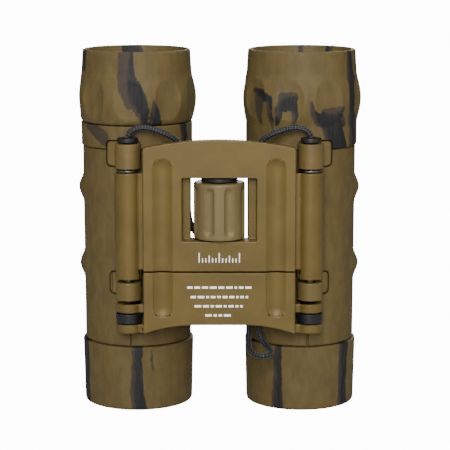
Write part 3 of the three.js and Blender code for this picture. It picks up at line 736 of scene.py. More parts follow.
def cord_route():
    """The whole cord, from the right plug to the left one."""
    right = LEAD_START + RIGHT_END
    over = [(0.6, 7.8, 52.7), (-1.8, 7.6, 52.8)]
    left = [(-x, y, z) for x, y, z in reversed(LEAD_START + LEFT_END)]
    middle = WHEEL_AXIS
    route = right + hank_points() + over + left
    return smooth_route([(middle.x + x, middle.y + y, z) for x, y, z in route], CORD_STEP)


def braided_tube(route, radius, weave):
    """A tube of rings along the route whose strands cross over each other."""
    curve = bpy.data.curves.new("cord_line", "CURVE")
    curve.dimensions = "3D"
    curve.bevel_depth = radius
    curve.bevel_resolution = CORD_SIDES // 2 - 2
    curve.twist_mode = "MINIMUM"
    line = curve.splines.new("POLY")
    line.points.add(len(route) - 1)
    for point, place in zip(line.points, route):
        point.co = (*place, 1)
    holder = bpy.data.objects.new("cord_line", curve)
    bpy.context.scene.collection.objects.link(holder)
    graph = bpy.context.evaluated_depsgraph_get()
    mesh = bpy.data.meshes.new_from_object(holder.evaluated_get(graph))
    bpy.data.objects.remove(holder)
    bpy.data.curves.remove(curve)
    sides = len(mesh.vertices) // len(route)
    attribute = mesh.attributes.new("strand", "FLOAT", "POINT")
    strands = 4
    pitch = 2.6
    for vert in mesh.vertices:
        ring, side = divmod(vert.index, sides)
        around = 2 * math.pi * side / sides
        along = 2 * math.pi * ring * CORD_STEP / pitch
        over = math.sin(strands * around + along * 1.6) * math.sin(strands * around - along * 1.6)
        # The strand height also sets the braid's painted highlight and shade.
        height = 0.5 + 0.5 * over
        attribute.data[vert.index].value = height
        centre = route[ring]
        out = (vert.co - centre).normalized()
        vert.co = centre + out * (radius - weave / 2 + weave * height)
    bm = bmesh.new()
    bm.from_mesh(mesh)
    bmesh.ops.holes_fill(bm, edges=[edge for edge in bm.edges if edge.is_boundary])
    bmesh.ops.recalc_face_normals(bm, faces=bm.faces)
    bm.to_mesh(mesh)
    return mesh


class BINOCULARS_OT_cord(bpy.types.Operator):
    """The neck cord, wound into a hank behind the bridge, and the band that ties it"""
    bl_idname = "binoculars.cord"
    bl_label = "Neck cord"

    def execute(self, context):
        cord = settings().cord
        radius = cord.diameter / 2 / MM
        route = cord_route()
        mesh = braided_tube(route, radius, cord.weave / MM)
        mesh.transform(Matrix.Scale(MM, 4))
        mesh.shade_smooth()
        mesh.materials.clear()
        mesh.materials.append(braid())
        obj = bpy.data.objects.new("neck_cord", mesh)
        context.scene.collection.objects.link(obj)
        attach(obj, "bridge")
        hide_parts("cord_lead_left", "cord_lead_right", "cord_hank")
        tie = self.tie(radius)
        path = [tuple(p * MM) for p in route]
        length = sum((b - a).length for a, b in zip(route, route[1:])) * MM
        return {"FINISHED"}

    def tie(self, radius):
        low, high = box_mm("cord_tie")
        thickness = 0.5
        reach = radius + CLEARANCE + thickness
        side = Vector((HANK_LAYERS[0][0] + reach, HANK_LAYERS[2][0] + reach))
        front, back = low.y, high.y
        shoulder = front + 2 * radius + 1.4
        corners = [(side.x, front, 1.0), (side.x, shoulder, 0.8), (side.y, back, 1.2), (-side.y, back, 1.2),
                   (-side.x, shoulder, 0.8), (-side.x, front, 1.0)]
        outline = [(WHEEL_AXIS.x + x, y) for x, y in rounded(corners, 6)]
        bm = bmesh.new()
        face = bm.faces.new([bm.verts.new((x, y, low.z)) for x, y in outline])
        bmesh.ops.inset_region(bm, faces=[face], thickness=thickness, use_even_offset=True, use_boundary=True)
        bmesh.ops.delete(bm, geom=[face], context="FACES_ONLY")
        thickened(bm, (0, 0, high.z - low.z))
        return piece("hank_tie", bm, "bridge", black_plastic(), ["cord_tie"], bevel=0.12)


# ---- Bridge --------------------------------------------------------------------------------------

PLATE_HALF_WIDTH = 22.7
UPPER_BOTTOM = 45.4
LIP_BOTTOM = 78.0
WINDOW = (8.6, 11.1, 4.2)           # inner and outer half width, depth of the step
WINDOW_SPAN = (54.5, 73.5)
SPINDLE_BORE = 1.7
GROOVE_OFFSET = 16.9
GROOVE_SPAN = (31.4, 79.4)
TUBE_RADIUS = 3.9
KNUCKLE_RADIUS = 3.8
HINGE_TUBE = (42.4, 74.6)
UPPER_KNUCKLE = (75.8, 83.3)
LOWER_KNUCKLE = (35.9, 41.4)
EARS = ((32.2, 34.85), (26.0, 28.6))
CARRIER_EAR = (28.95, 31.85)
WEB = (2.4, 1.6)                    # in front of and behind the hinge plane
PIN_RADIUS = 1.5
FRONT_Y = box_mm("upper_bridge")[0].y
BACK_CORNER = 4.0
HINGE_Y = HINGE["left"].y
BACK_Y = HINGE_Y + 2.2
HINGE_HALF = HINGE["right"].x - WHEEL_AXIS.x


def quadratic(a, b, c, steps=16):
    """Points of a quadratic curve, its first point left out."""
    a, b, c = Vector(a), Vector(b), Vector(c)
    return [tuple(a * (1 - t) ** 2 + b * (2 * t * (1 - t)) + c * t * t)
            for t in (k / steps for k in range(1, steps + 1))]


def upper_outline():
    w, corner = PLATE_HALF_WIDTH, 1.2
    bottom, top, side = UPPER_BOTTOM, 84.9, 82.7
    points = [(-w, bottom), (w, bottom), (w, side - corner)]
    points += quadratic((w, side - corner), (w, side), (w - corner, side), 5)
    points += quadratic((w - corner, side), (0, 2 * top - side), (corner - w, side), 24)
    points += quadratic((corner - w, side), (-w, side), (-w, side - corner), 5)
    return points


def lower_outline():
    w, top, middle, side = PLATE_HALF_WIDTH, 45.0, 29.0, 26.3
    flat = w / 3
    points = [(w, top), (-w, top), (-w, side)]
    points += quadratic((-w, side), (-(w + flat) / 2, middle), (-flat, middle), 12)
    points.append((flat, middle))
    points += quadratic((flat, middle), ((w + flat) / 2, middle), (w, side), 12)[:-1]
    points.append((w, side))
    return points


def thumb_grooves():
    """Cutters of the two long grooves with round ends."""
    bridge = settings().bridge
    width, depth = bridge.groove_width / MM, bridge.groove_depth / MM
    radius = ((width / 2) ** 2 + depth ** 2) / (2 * depth)
    low, high = GROOVE_SPAN[0] + width / 2, GROOVE_SPAN[1] - width / 2
    y = FRONT_Y + depth - radius
    cutters = []
    for side in (-1, 1):
        x = side * GROOVE_OFFSET
        cutters += [rod(radius, low, high, x, y, 96)]
        cutters += [ball(radius, (x, y, z), 96) for z in (low, high)]
    return cutters


def back_corners():
    reach = BACK_CORNER * math.sqrt(2) / 2
    turn = Matrix.Rotation(math.radians(45), 4, "Z")
    corners = []
    for side in (-1, 1):
        wedge = moved(block((-reach, reach), (-reach, reach), (0, 110)), turn)
        corners.append(moved(wedge, Matrix.Translation((side * PLATE_HALF_WIDTH, BACK_Y, 0))))
    return corners


def web(side, height):
    depth = (HINGE_Y - WEB[0], HINGE_Y + WEB[1])
    return block((side * (PLATE_HALF_WIDTH - 1), side * HINGE_HALF), depth, height)


def webs(height, radius):
    """The hinge tube on each side and the web that carries it."""
    parts = []
    for side in (-1, 1):
        parts.append(web(side, height))
        parts.append(rod(radius, *height, side * HINGE_HALF, HINGE_Y, 64))
    return parts


def pin_holes(radius, heights):
    return [rod(radius, *heights, side * HINGE_HALF, HINGE_Y, 32) for side in (-1, 1)]


def centred(shape):
    """From the middle of the bridge to the frame."""
    return moved(shape, Matrix.Translation((WHEEL_AXIS.x, 0, 0)))


class BINOCULARS_OT_bridge(bpy.types.Operator):
    """The upper and lower bridge plates and their printed scales"""
    bl_idname = "binoculars.bridge"
    bl_label = "Bridge"

    def execute(self, context):
        edge = settings().bridge.edge / MM
        upper = piece("bridge_plate_upper", self.upper(), "bridge", bridge_paint(),
                      ["upper_bridge"], bevel=edge, sharp=32)
        lower = piece("bridge_plate_lower", self.lower(), "focus_plate", bridge_paint(),
                      ["lower_bridge"], bevel=edge, sharp=32)
        self.marks()
        if not (upper.data.polygons and lower.data.polygons):
            raise RuntimeError("a bridge plate has no faces")
        return {"FINISHED"}

    def upper(self):
        wide = PLATE_HALF_WIDTH + 1
        lip = settings().bridge.lip / MM
        bottom, top = WINDOW_SPAN
        body = slab(upper_outline(), (FRONT_Y, BACK_Y))
        body = less(body, *back_corners(), block((-wide, wide), (FRONT_Y + lip, 0), (LIP_BOTTOM, 110)),
                    block((-WINDOW[1], WINDOW[1]), (FRONT_Y - 1, FRONT_Y + WINDOW[2]), (bottom, top)),
                    block((-WINDOW[0], WINDOW[0]), (FRONT_Y - 1, BACK_Y + 1), (bottom, top)),
                    *thumb_grooves())
        tube_webs = [web(side, (UPPER_BOTTOM, HINGE_TUBE[1])) for side in (-1, 1)]
        tubes = [rod(TUBE_RADIUS, *HINGE_TUBE, side * HINGE_HALF, HINGE_Y, 64) for side in (-1, 1)]
        body = joined(body, *tube_webs, *tubes)
        body = less(body, *pin_holes(PIN_RADIUS + CLEARANCE, (0, 110)),
                    rod(SPINDLE_BORE, 0, 77.3, 0, HINGE_Y, 32))
        return centred(flattened(body))

    def lower(self):
        body = slab(lower_outline(), (FRONT_Y, BACK_Y))
        body = less(body, *back_corners(), *thumb_grooves())
        for ear in EARS:
            body = joined(body, *webs(ear, KNUCKLE_RADIUS))
        notch = HINGE_HALF - TUBE_RADIUS - 0.45
        height = (CARRIER_EAR[0] - CLEARANCE, CARRIER_EAR[1] + CLEARANCE)
        room = [block((side * notch, side * 40), (FRONT_Y + 1.2, 0), height) for side in (-1, 1)]
        nut = block((-3.3, 3.3), (HINGE_Y - 2.3, 0), (37.7, 44.3))
        body = less(body, *room, *pin_holes(1.5, (26.8, 35.85)),
                    rod(SPINDLE_BORE, 35, 110, 0, HINGE_Y, 32), nut)
        return centred(flattened(body))

    def marks(self):
        """A tick scale over four rows of short strokes."""
        ink = settings().bridge.ink_height / MM
        depth = (FRONT_Y - ink, FRONT_Y + 0.01)
        scale = []
        count = 13
        for i in range(count):
            x = (i - (count - 1) / 2) * 1.0
            tall = 2.9 if i % 6 == 0 else 2.1 if i % 3 == 0 else 1.3
            scale.append(block((x - 0.16, x + 0.16), depth, (48.2, 48.2 + tall)))
        piece("focus_scale", centred(together(*scale)), "bridge", white_ink())
        draw = random.Random(5)
        strokes = []
        for z, half in ((40.6, 9.6), (37.7, 8.6), (34.9, 7.4), (32.1, 4.2)):
            x = -half
            while x < half - 0.5:
                width = min(draw.uniform(0.7, 2.1), half - x)
                strokes.append(block((x, x + width), depth, (z - 0.34, z + 0.34)))
                x += width + 0.55
        piece("setting_marks", centred(together(*strokes)), "focus_plate", white_ink())


# ---- Focus wheel ---------------------------------------------------------------------------------


class BINOCULARS_OT_wheel(bpy.types.Operator):
    """The fluted focus wheel and the black collar on it"""
    bl_idname = "binoculars.wheel"
    bl_label = "Focus wheel"

    def execute(self, context):
        wheel = settings().wheel
        bottom, top = span("focus_wheel")
        radius = (box_mm("focus_wheel")[1].x - box_mm("focus_wheel")[0].x) / 2
        bore, edge = SPINDLE_BORE, 0.6
        corners = [(bore, bottom, 0), (radius, bottom, edge), (radius, top, edge), (bore, top, 0)]
        shape = turned(dense(rounded(corners, 4), 0.45), 240)
        width, depth, length = wheel.flute_width / MM, wheel.flute_depth / MM, wheel.flute_length / MM
        sweep = ((width / 2) ** 2 + depth ** 2) / (2 * depth)
        middle = (bottom + top) / 2
        straight = length / 2 - width / 2
        step = 2 * math.pi / wheel.flutes
        for vert in shape.verts:
            r = vert.co.xy.length
            if r < bore + 1:
                continue
            angle = math.atan2(vert.co.y, vert.co.x) / step - 0.5
            offset = (angle - round(angle)) * step * radius
            rise = max(0.0, abs(vert.co.z - middle) - straight)
            away = math.hypot(offset, rise)
            if away < sweep:
                floor = radius - depth + sweep - math.sqrt(sweep ** 2 - away ** 2)
                if floor < r:
                    vert.co.xy *= floor / r
        place = Matrix.Translation((WHEEL_AXIS.x, WHEEL_AXIS.y, 0))
        piece("focus_wheel_fluted", moved(shape, place), "focus_wheel", wheel_paint(),
              ["focus_wheel"], sharp=50)
        low, high = span("wheel_collar")
        outer = (box_mm("wheel_collar")[1].x - box_mm("wheel_collar")[0].x) / 2
        ring = turned(rounded([(bore, low, 0), (outer, low, 0.2), (outer, high, 0.3), (bore, high, 0)]), 96)
        piece("wheel_collar_ring", moved(ring, place), "focus_wheel", black_plastic(),
              ["wheel_collar"])
        return {"FINISHED"}


# ---- Barrels -------------------------------------------------------------------------------------

TUBE = (14.0, 15.1)              # inner and outer radius of the metal tube
TUBE_SPAN = (2.4, 84.0)
ROOT_RADIUS = 16.8
ROOT_INWARD = 3.0
ROOTS = {UPPER_KNUCKLE: 7.0, (36.7, 43.2): 6.3}      # height of each root and how far out it reaches
WEB_HALF = 2.7
ROOT_CORNER = 1.3
ROOT_DEPTH = 11.2                # the roots and the arm's slot go in this near to the barrel's axis
ARMOUR_INNER = 15.4
BUMPS = (43.5, 67.5)
CARRIER_ARM = 1.4
TRAVEL_ROOM = 0.45


def root_block(side, height, outward, extra):
    """The metal root under a knuckle, its outline rounded, grown by extra."""
    x0, x1 = sorted((-side * (ROOT_INWARD + extra), side * (outward + extra)))
    z0, z1 = height[0] - extra, height[1] + extra
    corner = ROOT_CORNER + extra
    outline = rounded([(x0, z0, corner), (x1, z0, corner), (x1, z1, corner), (x0, z1, corner)])
    return common(slab(outline, (-ROOT_RADIUS - extra - 1, -ROOT_DEPTH)),
                  rod(ROOT_RADIUS + extra, z0, z1, steps=160))


def rubber_room(side):
    """What the rubber leaves open round the metal roots and the sliding arm."""
    room = [root_block(side, height, outward, TRAVEL_ROOM) for height, outward in ROOTS.items()]
    wide = ROOT_INWARD + TRAVEL_ROOM
    height = (LOWER_KNUCKLE[0] - TRAVEL_ROOM, LOWER_KNUCKLE[1])
    room.append(block((-wide, wide), (-HINGE_ARM, -TUBE[0]), height))
    return room


def arm_slot(extra):
    half = CARRIER_ARM + extra
    height = (CARRIER_EAR[0] - FOCUS_TRAVEL - extra, CARRIER_EAR[1] + extra)
    return block((-half, half), (-HINGE_ARM, -ROOT_DEPTH), height)


class BINOCULARS_OT_barrels(bpy.types.Operator):
    """Metal tubes with their hinge knuckles, and the rubber armour with its grip bumps"""
    bl_idname = "binoculars.barrels"
    bl_label = "Barrels"

    def execute(self, context):
        for tag in SIDES:
            side = SIGN[tag]
            piece("tube_and_knuckles_" + tag, moved(self.tube(side), barrel_place(tag)), tag + "_barrel",
                  barrel_paint(), ["barrel_tube_" + tag], bevel=0.28, sharp=32)
            piece("rubber_armour_" + tag, moved(self.armour(side), barrel_place(tag)), tag + "_barrel",
                  plain_rubber(), ["armour_" + tag], sharp=40)
        return {"FINISHED"}

    def tube(self, side):
        body = rod(TUBE[1], *TUBE_SPAN, steps=128)
        for height, outward in ROOTS.items():
            body = joined(body, root_block(side, height, outward, 0))
        for height in (UPPER_KNUCKLE, LOWER_KNUCKLE):
            body = joined(body, rod(KNUCKLE_RADIUS, *height, 0, -HINGE_ARM, 64),
                          block((-WEB_HALF, WEB_HALF), (-HINGE_ARM, -TUBE[1] + 0.4), height))
        body = less(body, rod(TUBE[0], 0, 110, steps=128),
                    rod(PIN_RADIUS + CLEARANCE, 0, 110, 0, -HINGE_ARM, 32),
                    arm_slot(0.35))
        return flattened(body)

    def armour(self, side):
        rubber = settings().rubber
        bottom, top = span("armour_left")
        low, high = 16.45, 16.7
        corners = [(ARMOUR_INNER, bottom, 0), (low, bottom, 0.3), (high, top, 0.3), (ARMOUR_INNER, top, 0)]
        body = turned(dense(rounded(corners, 3), 1.2), 180)
        rise, length = rubber.bump_rise / MM, rubber.bump_length / MM
        breadth = rubber.bump_breadth / MM
        for vert in body.verts:
            r = vert.co.xy.length
            if r < ARMOUR_INNER + 0.5:
                continue
            around = math.atan2(vert.co.y, side * vert.co.x) * r
            lift = 0.0
            for z in BUMPS:
                u, v = abs(vert.co.z - z) / (length / 2), abs(around) / (breadth / 2)
                if u < 1 and v < 1:
                    lift += rise * math.cos(math.pi / 2 * u) ** 1.6 * math.cos(math.pi / 2 * v) ** 0.8
            vert.co.xy *= (r + lift) / r
        slit = block((-0.4, 0.4), (-HINGE_ARM, -TUBE[0]), (0, CARRIER_EAR[0] - FOCUS_TRAVEL))
        return less(body, *rubber_room(side), arm_slot(TRAVEL_ROOM), slit)


# ---- Camouflage ----------------------------------------------------------------------------------

# Each stroke is a list of (degrees from the front towards +X, height, half width) on the rubber's surface.
EYECUP_STROKES = {
    "left": [
        [(-4.2, 110.5, 1.0), (-4.4, 106.5, 1.25), (-5, 103, 1.5), (-1.8, 99.7, 2.6), (3, 95.7, 2.9), (7, 92.7, 2.3),
         (9.5, 90.2, 1.5), (9, 88.2, 0.9)],
        [(19.4, 95.4, 0.5), (20, 93, 1.2), (20.5, 90.2, 1.8), (21, 88, 2.4)],
        [(-69, 111, 1.6), (-69, 104.5, 1.2)],
        [(-172, 111, 3.0), (-170, 107, 2.5)],
    ],
    "right": [
        [(-57, 98, 0.9), (-44, 97, 1.7), (-35, 95.8, 1.2), (-34, 91, 0.9), (-32, 86, 0.3)],
        [(-20, 94.3, 2.2), (-14, 94.6, 2.3)],
        [(-24, 94, 1.2), (-25, 90.8, 1.0), (-28, 88, 0.4)],
        [(-10, 94, 1.3), (-9, 91, 1.0), (-10, 88.2, 0.4)],
        [(7, 95, 0.5), (9, 92, 1.0), (17, 89.6, 2.0), (27, 88.6, 2.7)],
        [(27, 88.6, 2.8), (34, 84.8, 3.8), (39, 81, 3.8)],
        [(24, 89.6, 1.2), (37, 91.4, 0.9)],
        [(57, 109.5, 1.4), (58, 104, 1.8), (59, 101, 2.4), (58, 96, 2.8), (59, 91, 2.6), (64, 87, 2.4), (65, 81, 2.4)],
    ],
}
EYECUP_FAINT = {
    "left": [[(-11, 109.5, 1.6), (-11.5, 104, 1.7), (-10, 99, 1.8), (-4, 95, 2.0)]],
    "right": [
        [(-50, 95.6, 2.3), (-50, 92, 1.7), (-47, 88.6, 0.7)],
        [(-20, 96.4, 1.8), (-10, 96.6, 1.6)],
        [(22, 91.6, 1.4), (40, 92.6, 1.2)],
        [(38, 90.2, 1.6), (45, 88.4, 1.2)],
    ],
}
COLLAR_STROKES = [
    [(57.5, 88, 1.8), (60, 84, 1.8), (58, 81, 1.4)],
]
COLLAR_FAINT = [
    [(-56, 87.2, 1.2), (-44, 86, 2.0), (-35, 84.4, 2.2), (-32, 82.6, 1.2)],
]
SLEEVE_STROKES = {
    "left": [
        [(-76, 20.5, 4.2), (-76, 12, 4.9), (-76, 7, 4.0), (-76, 3, 4.5), (-76, -1, 4.5)],
        [(1.2, 20.5, 1.75), (0.7, 16.5, 1.65), (0.7, 14, 1.7), (0.7, 10, 1.9), (0.7, 6.2, 2.15), (1.2, 3.5, 2.2),
         (3.6, -1, 2.4)],
        [(16.7, 19, 0.3), (16.2, 15.2, 0.4), (17.6, 13.4, 0.5), (17.2, 11.9, 0.2)],
    ],
    "right": [
        [(-25.3, 20.5, 1.3), (-25.5, 15, 1.35), (-25.5, 10.4, 1.5), (-26.5, 5.4, 1.8), (-26, -1, 1.9)],
        [(50, 20.5, 2.4), (48.5, 13, 2.0), (48.5, 8, 2.0), (50.8, -1, 2.2)],
        [(-82, 20.5, 0.9), (-62, 20.3, 0.5)],
        [(86, 20.5, 0.9), (86, 4, 0.8)],
    ],
}


def back_strokes(seed, low, high, first=105, last=255):
    """Streaks and blots like the front ones, for the sides that face away."""
    draw = random.Random(seed)
    strokes = []
    angle = first
    while angle < last:
        width = draw.uniform(0.8, 3.0)
        top = high + 1 if draw.random() < 0.7 else draw.uniform((low + high) / 2, high)
        foot = low - 1 if draw.random() < 0.6 else draw.uniform(low, (low + high) / 2)
        drift = draw.uniform(-9, 9)
        strokes.append([(angle + drift * t, top + (foot - top) * t, width * draw.uniform(0.6, 1.3))
                        for t in (0, 0.35, 0.7, 1)])
        angle += draw.uniform(26, 52)
    return strokes


def stroke_depth(strokes, degrees, height, radius):
    """How far inside the nearest stroke each point of the surface lies; negative outside."""
    best = np.full(len(degrees), -20.0)
    to_mm = math.radians(1) * radius
    for stroke in strokes:
        for (a0, z0, w0), (a1, z1, w1) in zip(stroke, stroke[1:]):
            px, pz = ((degrees - a0 + 180) % 360 - 180) * to_mm, height - z0
            run, rise = (a1 - a0) * to_mm, z1 - z0
            t = np.clip((px * run + pz * rise) / (run * run + rise * rise + 1e-9), 0, 1)
            best = np.maximum(best, w0 + (w1 - w0) * t - np.hypot(px - run * t, pz - rise * t))
    return best


def camouflage(tag, strokes, faint=(), shift=1.2):
    """A function that stores on a mesh how deep in a patch each point is, and a little to its left."""
    centre = BARREL[tag]

    def colour(mesh):
        places = np.empty(3 * len(mesh.vertices))
        mesh.vertices.foreach_get("co", places)
        x, y, height = (places.reshape(-1, 3) / MM).T
        x, y = x - centre.x, y - centre.y
        radius = np.maximum(1.0, np.hypot(x, y))
        degrees = np.degrees(np.arctan2(x, -y))
        beside = degrees - np.degrees(shift / radius)
        for name, angle, some in (("patch", degrees, [*strokes, *faint]), ("core", beside, strokes)):
            depth = stroke_depth(some, angle, height, radius)
            mesh.attributes.new(name, "FLOAT", "POINT").data.foreach_set("value", depth.astype(np.float32))
    return colour


# ---- Rubber ends ---------------------------------------------------------------------------------


class BINOCULARS_OT_sleeves(bpy.types.Operator):
    """The camouflaged rubber sleeves over the objective ends"""
    bl_idname = "binoculars.sleeves"
    bl_label = "Objective sleeves"

    def execute(self, context):
        for tag in SIDES:
            bottom, top = span("objective_sleeve_" + tag)
            base, rim, lip, shelf = 16.8, 17.25, 14.1, 2.1
            corners = [(lip, bottom, 0.5), (base, bottom, 1.0), (rim, top, 0.5), (ARMOUR_INNER, top, 0.15),
                       (ARMOUR_INNER, shelf, 0), (lip, shelf, 0.2)]
            outline = rounded(corners, 5)
            shape = turned(dense(outline, 0.5), 280)
            strokes = SLEEVE_STROKES[tag] + back_strokes(11 + SIGN[tag], bottom, top)
            piece("sleeve_rubber_" + tag, moved(shape, barrel_place(tag)), tag + "_barrel", camo_rubber(),
                  ["objective_sleeve_" + tag], sharp=50,
              colour=camouflage(tag, strokes))
        return {"FINISHED"}


BAND = (88.9, 102.4)
BAND_RADIUS = (17.3, 18.46)
NECK_RADIUS = 16.9
RIM_RADIUS = 16.5
CUP_FLOOR = 102.8
EYE_OPENING = 8.0
DIOPTRE_LINE = 87.8
COLLAR_BOTTOM = 80.8
COLLAR_RADIUS = 17.1


def cup_outline(foot):
    """The outer line of an eyecup from its foot up over the rim and down to the eye opening."""
    low, high = BAND
    bulge = BAND_RADIUS[1] - BAND_RADIUS[0]
    total = CAD_BOX[1].z / MM
    band = [(BAND_RADIUS[0] - 0.3 * t + bulge * math.sin(math.pi * t ** 0.95) ** 1.1, low + (high - low) * t)
            for t in (k / 20 for k in range(20))]
    rim = rounded([(*band.pop(), 0), (NECK_RADIUS, high + 0.8, 3.0), (RIM_RADIUS, total, 0.75),
                   (RIM_RADIUS - 1.3, total, 0.5), (RIM_RADIUS - 1.6, total - 1.2, 0.5),
                   (12.8, CUP_FLOOR + 0.4, 1.5), (EYE_OPENING, CUP_FLOOR, 0.3),
                   (EYE_OPENING, CUP_FLOOR - 1, 0)], 5)
    return foot + band + rim


def scalloped(shape, phase):
    """Presses oval hollows into the grip band."""
    rubber = settings().rubber
    width, height = rubber.scallop_width / MM, rubber.scallop_height / MM
    depth = rubber.scallop_depth / MM
    middle = sum(BAND) / 2
    step = 2 * math.pi / rubber.scallops
    top_radius = BAND_RADIUS[1]
    for vert in shape.verts:
        r = vert.co.xy.length
        if r < top_radius - 2.5:
            continue
        angle = (math.atan2(vert.co.y, vert.co.x) + math.pi / 2) / step - phase
        offset = (angle - round(angle)) * step * top_radius
        across, along = abs(offset) / (width / 2), abs(vert.co.z - middle) / (height / 2)
        away = (across ** 2.5 + along ** 2.5) ** 0.4
        if away < 1:
            floor = top_radius - depth * (1 - away ** 2) ** 0.55 - (top_radius - r) * 0.55
            vert.co.xy *= min(r, floor + 0.05) / r
    return shape


class BINOCULARS_OT_eyecups(bpy.types.Operator):
    """The scalloped rubber eyecups, and the fixed collar under the turning left one"""
    bl_idname = "binoculars.eyecups"
    bl_label = "Eyecups"

    def execute(self, context):
        edge = BAND_RADIUS[0]
        floor = CUP_FLOOR - 1
        joint = DIOPTRE_LINE + 0.3
        foot = [(14.85, joint), (edge - 0.5, joint), (edge - 0.25, joint + 0.25)]
        outline = cup_outline(foot) + [(14.85, floor)]
        shape = scalloped(turned(dense(outline, 0.42), 320), 0.0)
        low, high = DIOPTRE_LINE, CAD_BOX[1].z / MM
        strokes = EYECUP_STROKES["left"] + back_strokes(3, low, high)
        piece("eyecup_rubber_left", moved(shape, barrel_place("left")), "dioptre_ring", camo_rubber(),
              ["eyecup_left"], sharp=50,
              colour=camouflage("left", strokes, EYECUP_FAINT["left"]))

        foot = [(ARMOUR_INNER, COLLAR_BOTTOM), (COLLAR_RADIUS - 0.25, COLLAR_BOTTOM),
                (COLLAR_RADIUS, COLLAR_BOTTOM + 0.35), (COLLAR_RADIUS, DIOPTRE_LINE)]
        shelf = 86.7
        outline = cup_outline(foot) + [(13.3, floor), (13.3, shelf), (ARMOUR_INNER, shelf)]
        shape = scalloped(turned(dense(outline, 0.42), 320), 0.5)
        shape = less(shape, *rubber_room(1))
        strokes = EYECUP_STROKES["right"] + back_strokes(8, COLLAR_BOTTOM, high)
        piece("eyecup_rubber_right", moved(shape, barrel_place("right")), "right_barrel", camo_rubber(),
              ["eyecup_right"], sharp=50,
              colour=camouflage("right", strokes, EYECUP_FAINT["right"]))

        corners = [(ARMOUR_INNER, COLLAR_BOTTOM, 0), (COLLAR_RADIUS, COLLAR_BOTTOM, 0.35),
                   (COLLAR_RADIUS, DIOPTRE_LINE, 0.35), (ARMOUR_INNER, DIOPTRE_LINE, 0)]
        shape = less(turned(dense(rounded(corners), 0.5), 280), *rubber_room(-1))
        strokes = COLLAR_STROKES + back_strokes(4, COLLAR_BOTTOM, DIOPTRE_LINE)
        piece("collar_rubber_left", moved(shape, barrel_place("left")), "left_barrel", camo_rubber(),
              ["eyepiece_collar_left"], sharp=50,
              colour=camouflage("left", strokes, COLLAR_FAINT))
        return {"FINISHED"}


# ---- Optics and small hardware -------------------------------------------------------------------


def half_width(node):
    low, high = box_mm(node)
    return (high.y - low.y) / 2


class BINOCULARS_OT_objectives(bpy.types.Operator):
    """Sliding objective cells with their ears, front lenses and retaining rings"""
    bl_idname = "binoculars.objectives"
    bl_label = "Objectives"

    def execute(self, context):
        for tag in SIDES:
            body = tag + "_objective"
            place = barrel_place(tag)
            piece("objective_cell_" + tag, moved(self.carrier(), place), body, black_plastic(),
                  ["objective_carrier_" + tag], bevel=0.2, sharp=35)
            low, high = span("objective_crown_" + tag)
            radius = 12.67
            outline = [(0, low)] + [(radius * t, low + 1.1 * t * t) for t in (k / 16 for k in range(1, 17))]
            outline += [(radius, high - 1.1), (0, high)]
            piece("front_lens_" + tag, moved(turned(outline, 96), place), body, coated_lens(),
                  ["objective_crown_" + tag])
            low, high = span("objective_ring_" + tag)
            corners = [(radius - 1.2, low, 0.3), (radius, low, 0.15), (radius, high, 0), (radius - 1.2, high, 0)]
            ring = turned(rounded(corners), 96)
            notches = [block((-0.6, 0.6), (s * 10, s * 14), (low - 1, low + 0.35)) for s in (-1, 1)]
            piece("lens_ring_" + tag, moved(less(ring, *notches), place), body, black_metal(),
                  ["objective_ring_" + tag])
        return {"FINISHED"}

    def carrier(self):
        bottom, top = 4.2, 34.0
        outer, inner = 13.825, 12.975
        ledge = span("objective_flint_left")[1] + 0.3
        outline = [(inner, bottom), (outer, bottom), (outer, top), (inner - 0.5, top), (inner - 0.5, ledge),
                   (inner, ledge)]
        shell = turned(outline, 96)
        arm = block((-CARRIER_ARM, CARRIER_ARM), (-HINGE_ARM, -inner - 0.3), CARRIER_EAR)
        body = joined(shell, arm, rod(TUBE_RADIUS, *CARRIER_EAR, 0, -HINGE_ARM, 64))
        hole = rod(1.55, CARRIER_EAR[0] - 1, CARRIER_EAR[1] + 1, 0, -HINGE_ARM, 32)
        return flattened(less(body, hole))


class BINOCULARS_OT_eyepieces(bpy.types.Operator):
    """Eye lenses and their retaining rings, at the bottom of the eyecups"""
    bl_idname = "binoculars.eyepieces"
    bl_label = "Eyepieces"

    def execute(self, context):
        for tag in SIDES:
            body = "dioptre_optics" if tag == "left" else "right_barrel"
            place = barrel_place(tag)
            low, high = span("eye_lens_" + tag)
            radius = half_width("eye_lens_" + tag)
            outline = [(0, low + 1.1), (radius, low)]
            outline += [(radius * t, high - 0.9 * t * t) for t in (1 - k / 16 for k in range(17))]
            piece("eye_lens_glass_" + tag, moved(turned(outline, 96), place), body, coated_lens(),
                  ["eye_lens_" + tag])
            low, high = span("eyepiece_ring_" + tag)
            corners = [(radius - 1.2, low, 0), (radius, low, 0), (radius, high, 0.15), (radius - 1.2, high, 0.3)]
            ring = turned(rounded(corners), 96)
            notches = [block((s * 5, s * 9), (-0.5, 0.5), (high - 0.35, high + 1)) for s in (-1, 1)]
            piece("eye_lens_ring_" + tag, moved(less(ring, *notches), place), body, black_metal(),
                  ["eyepiece_ring_" + tag])
        return {"FINISHED"}


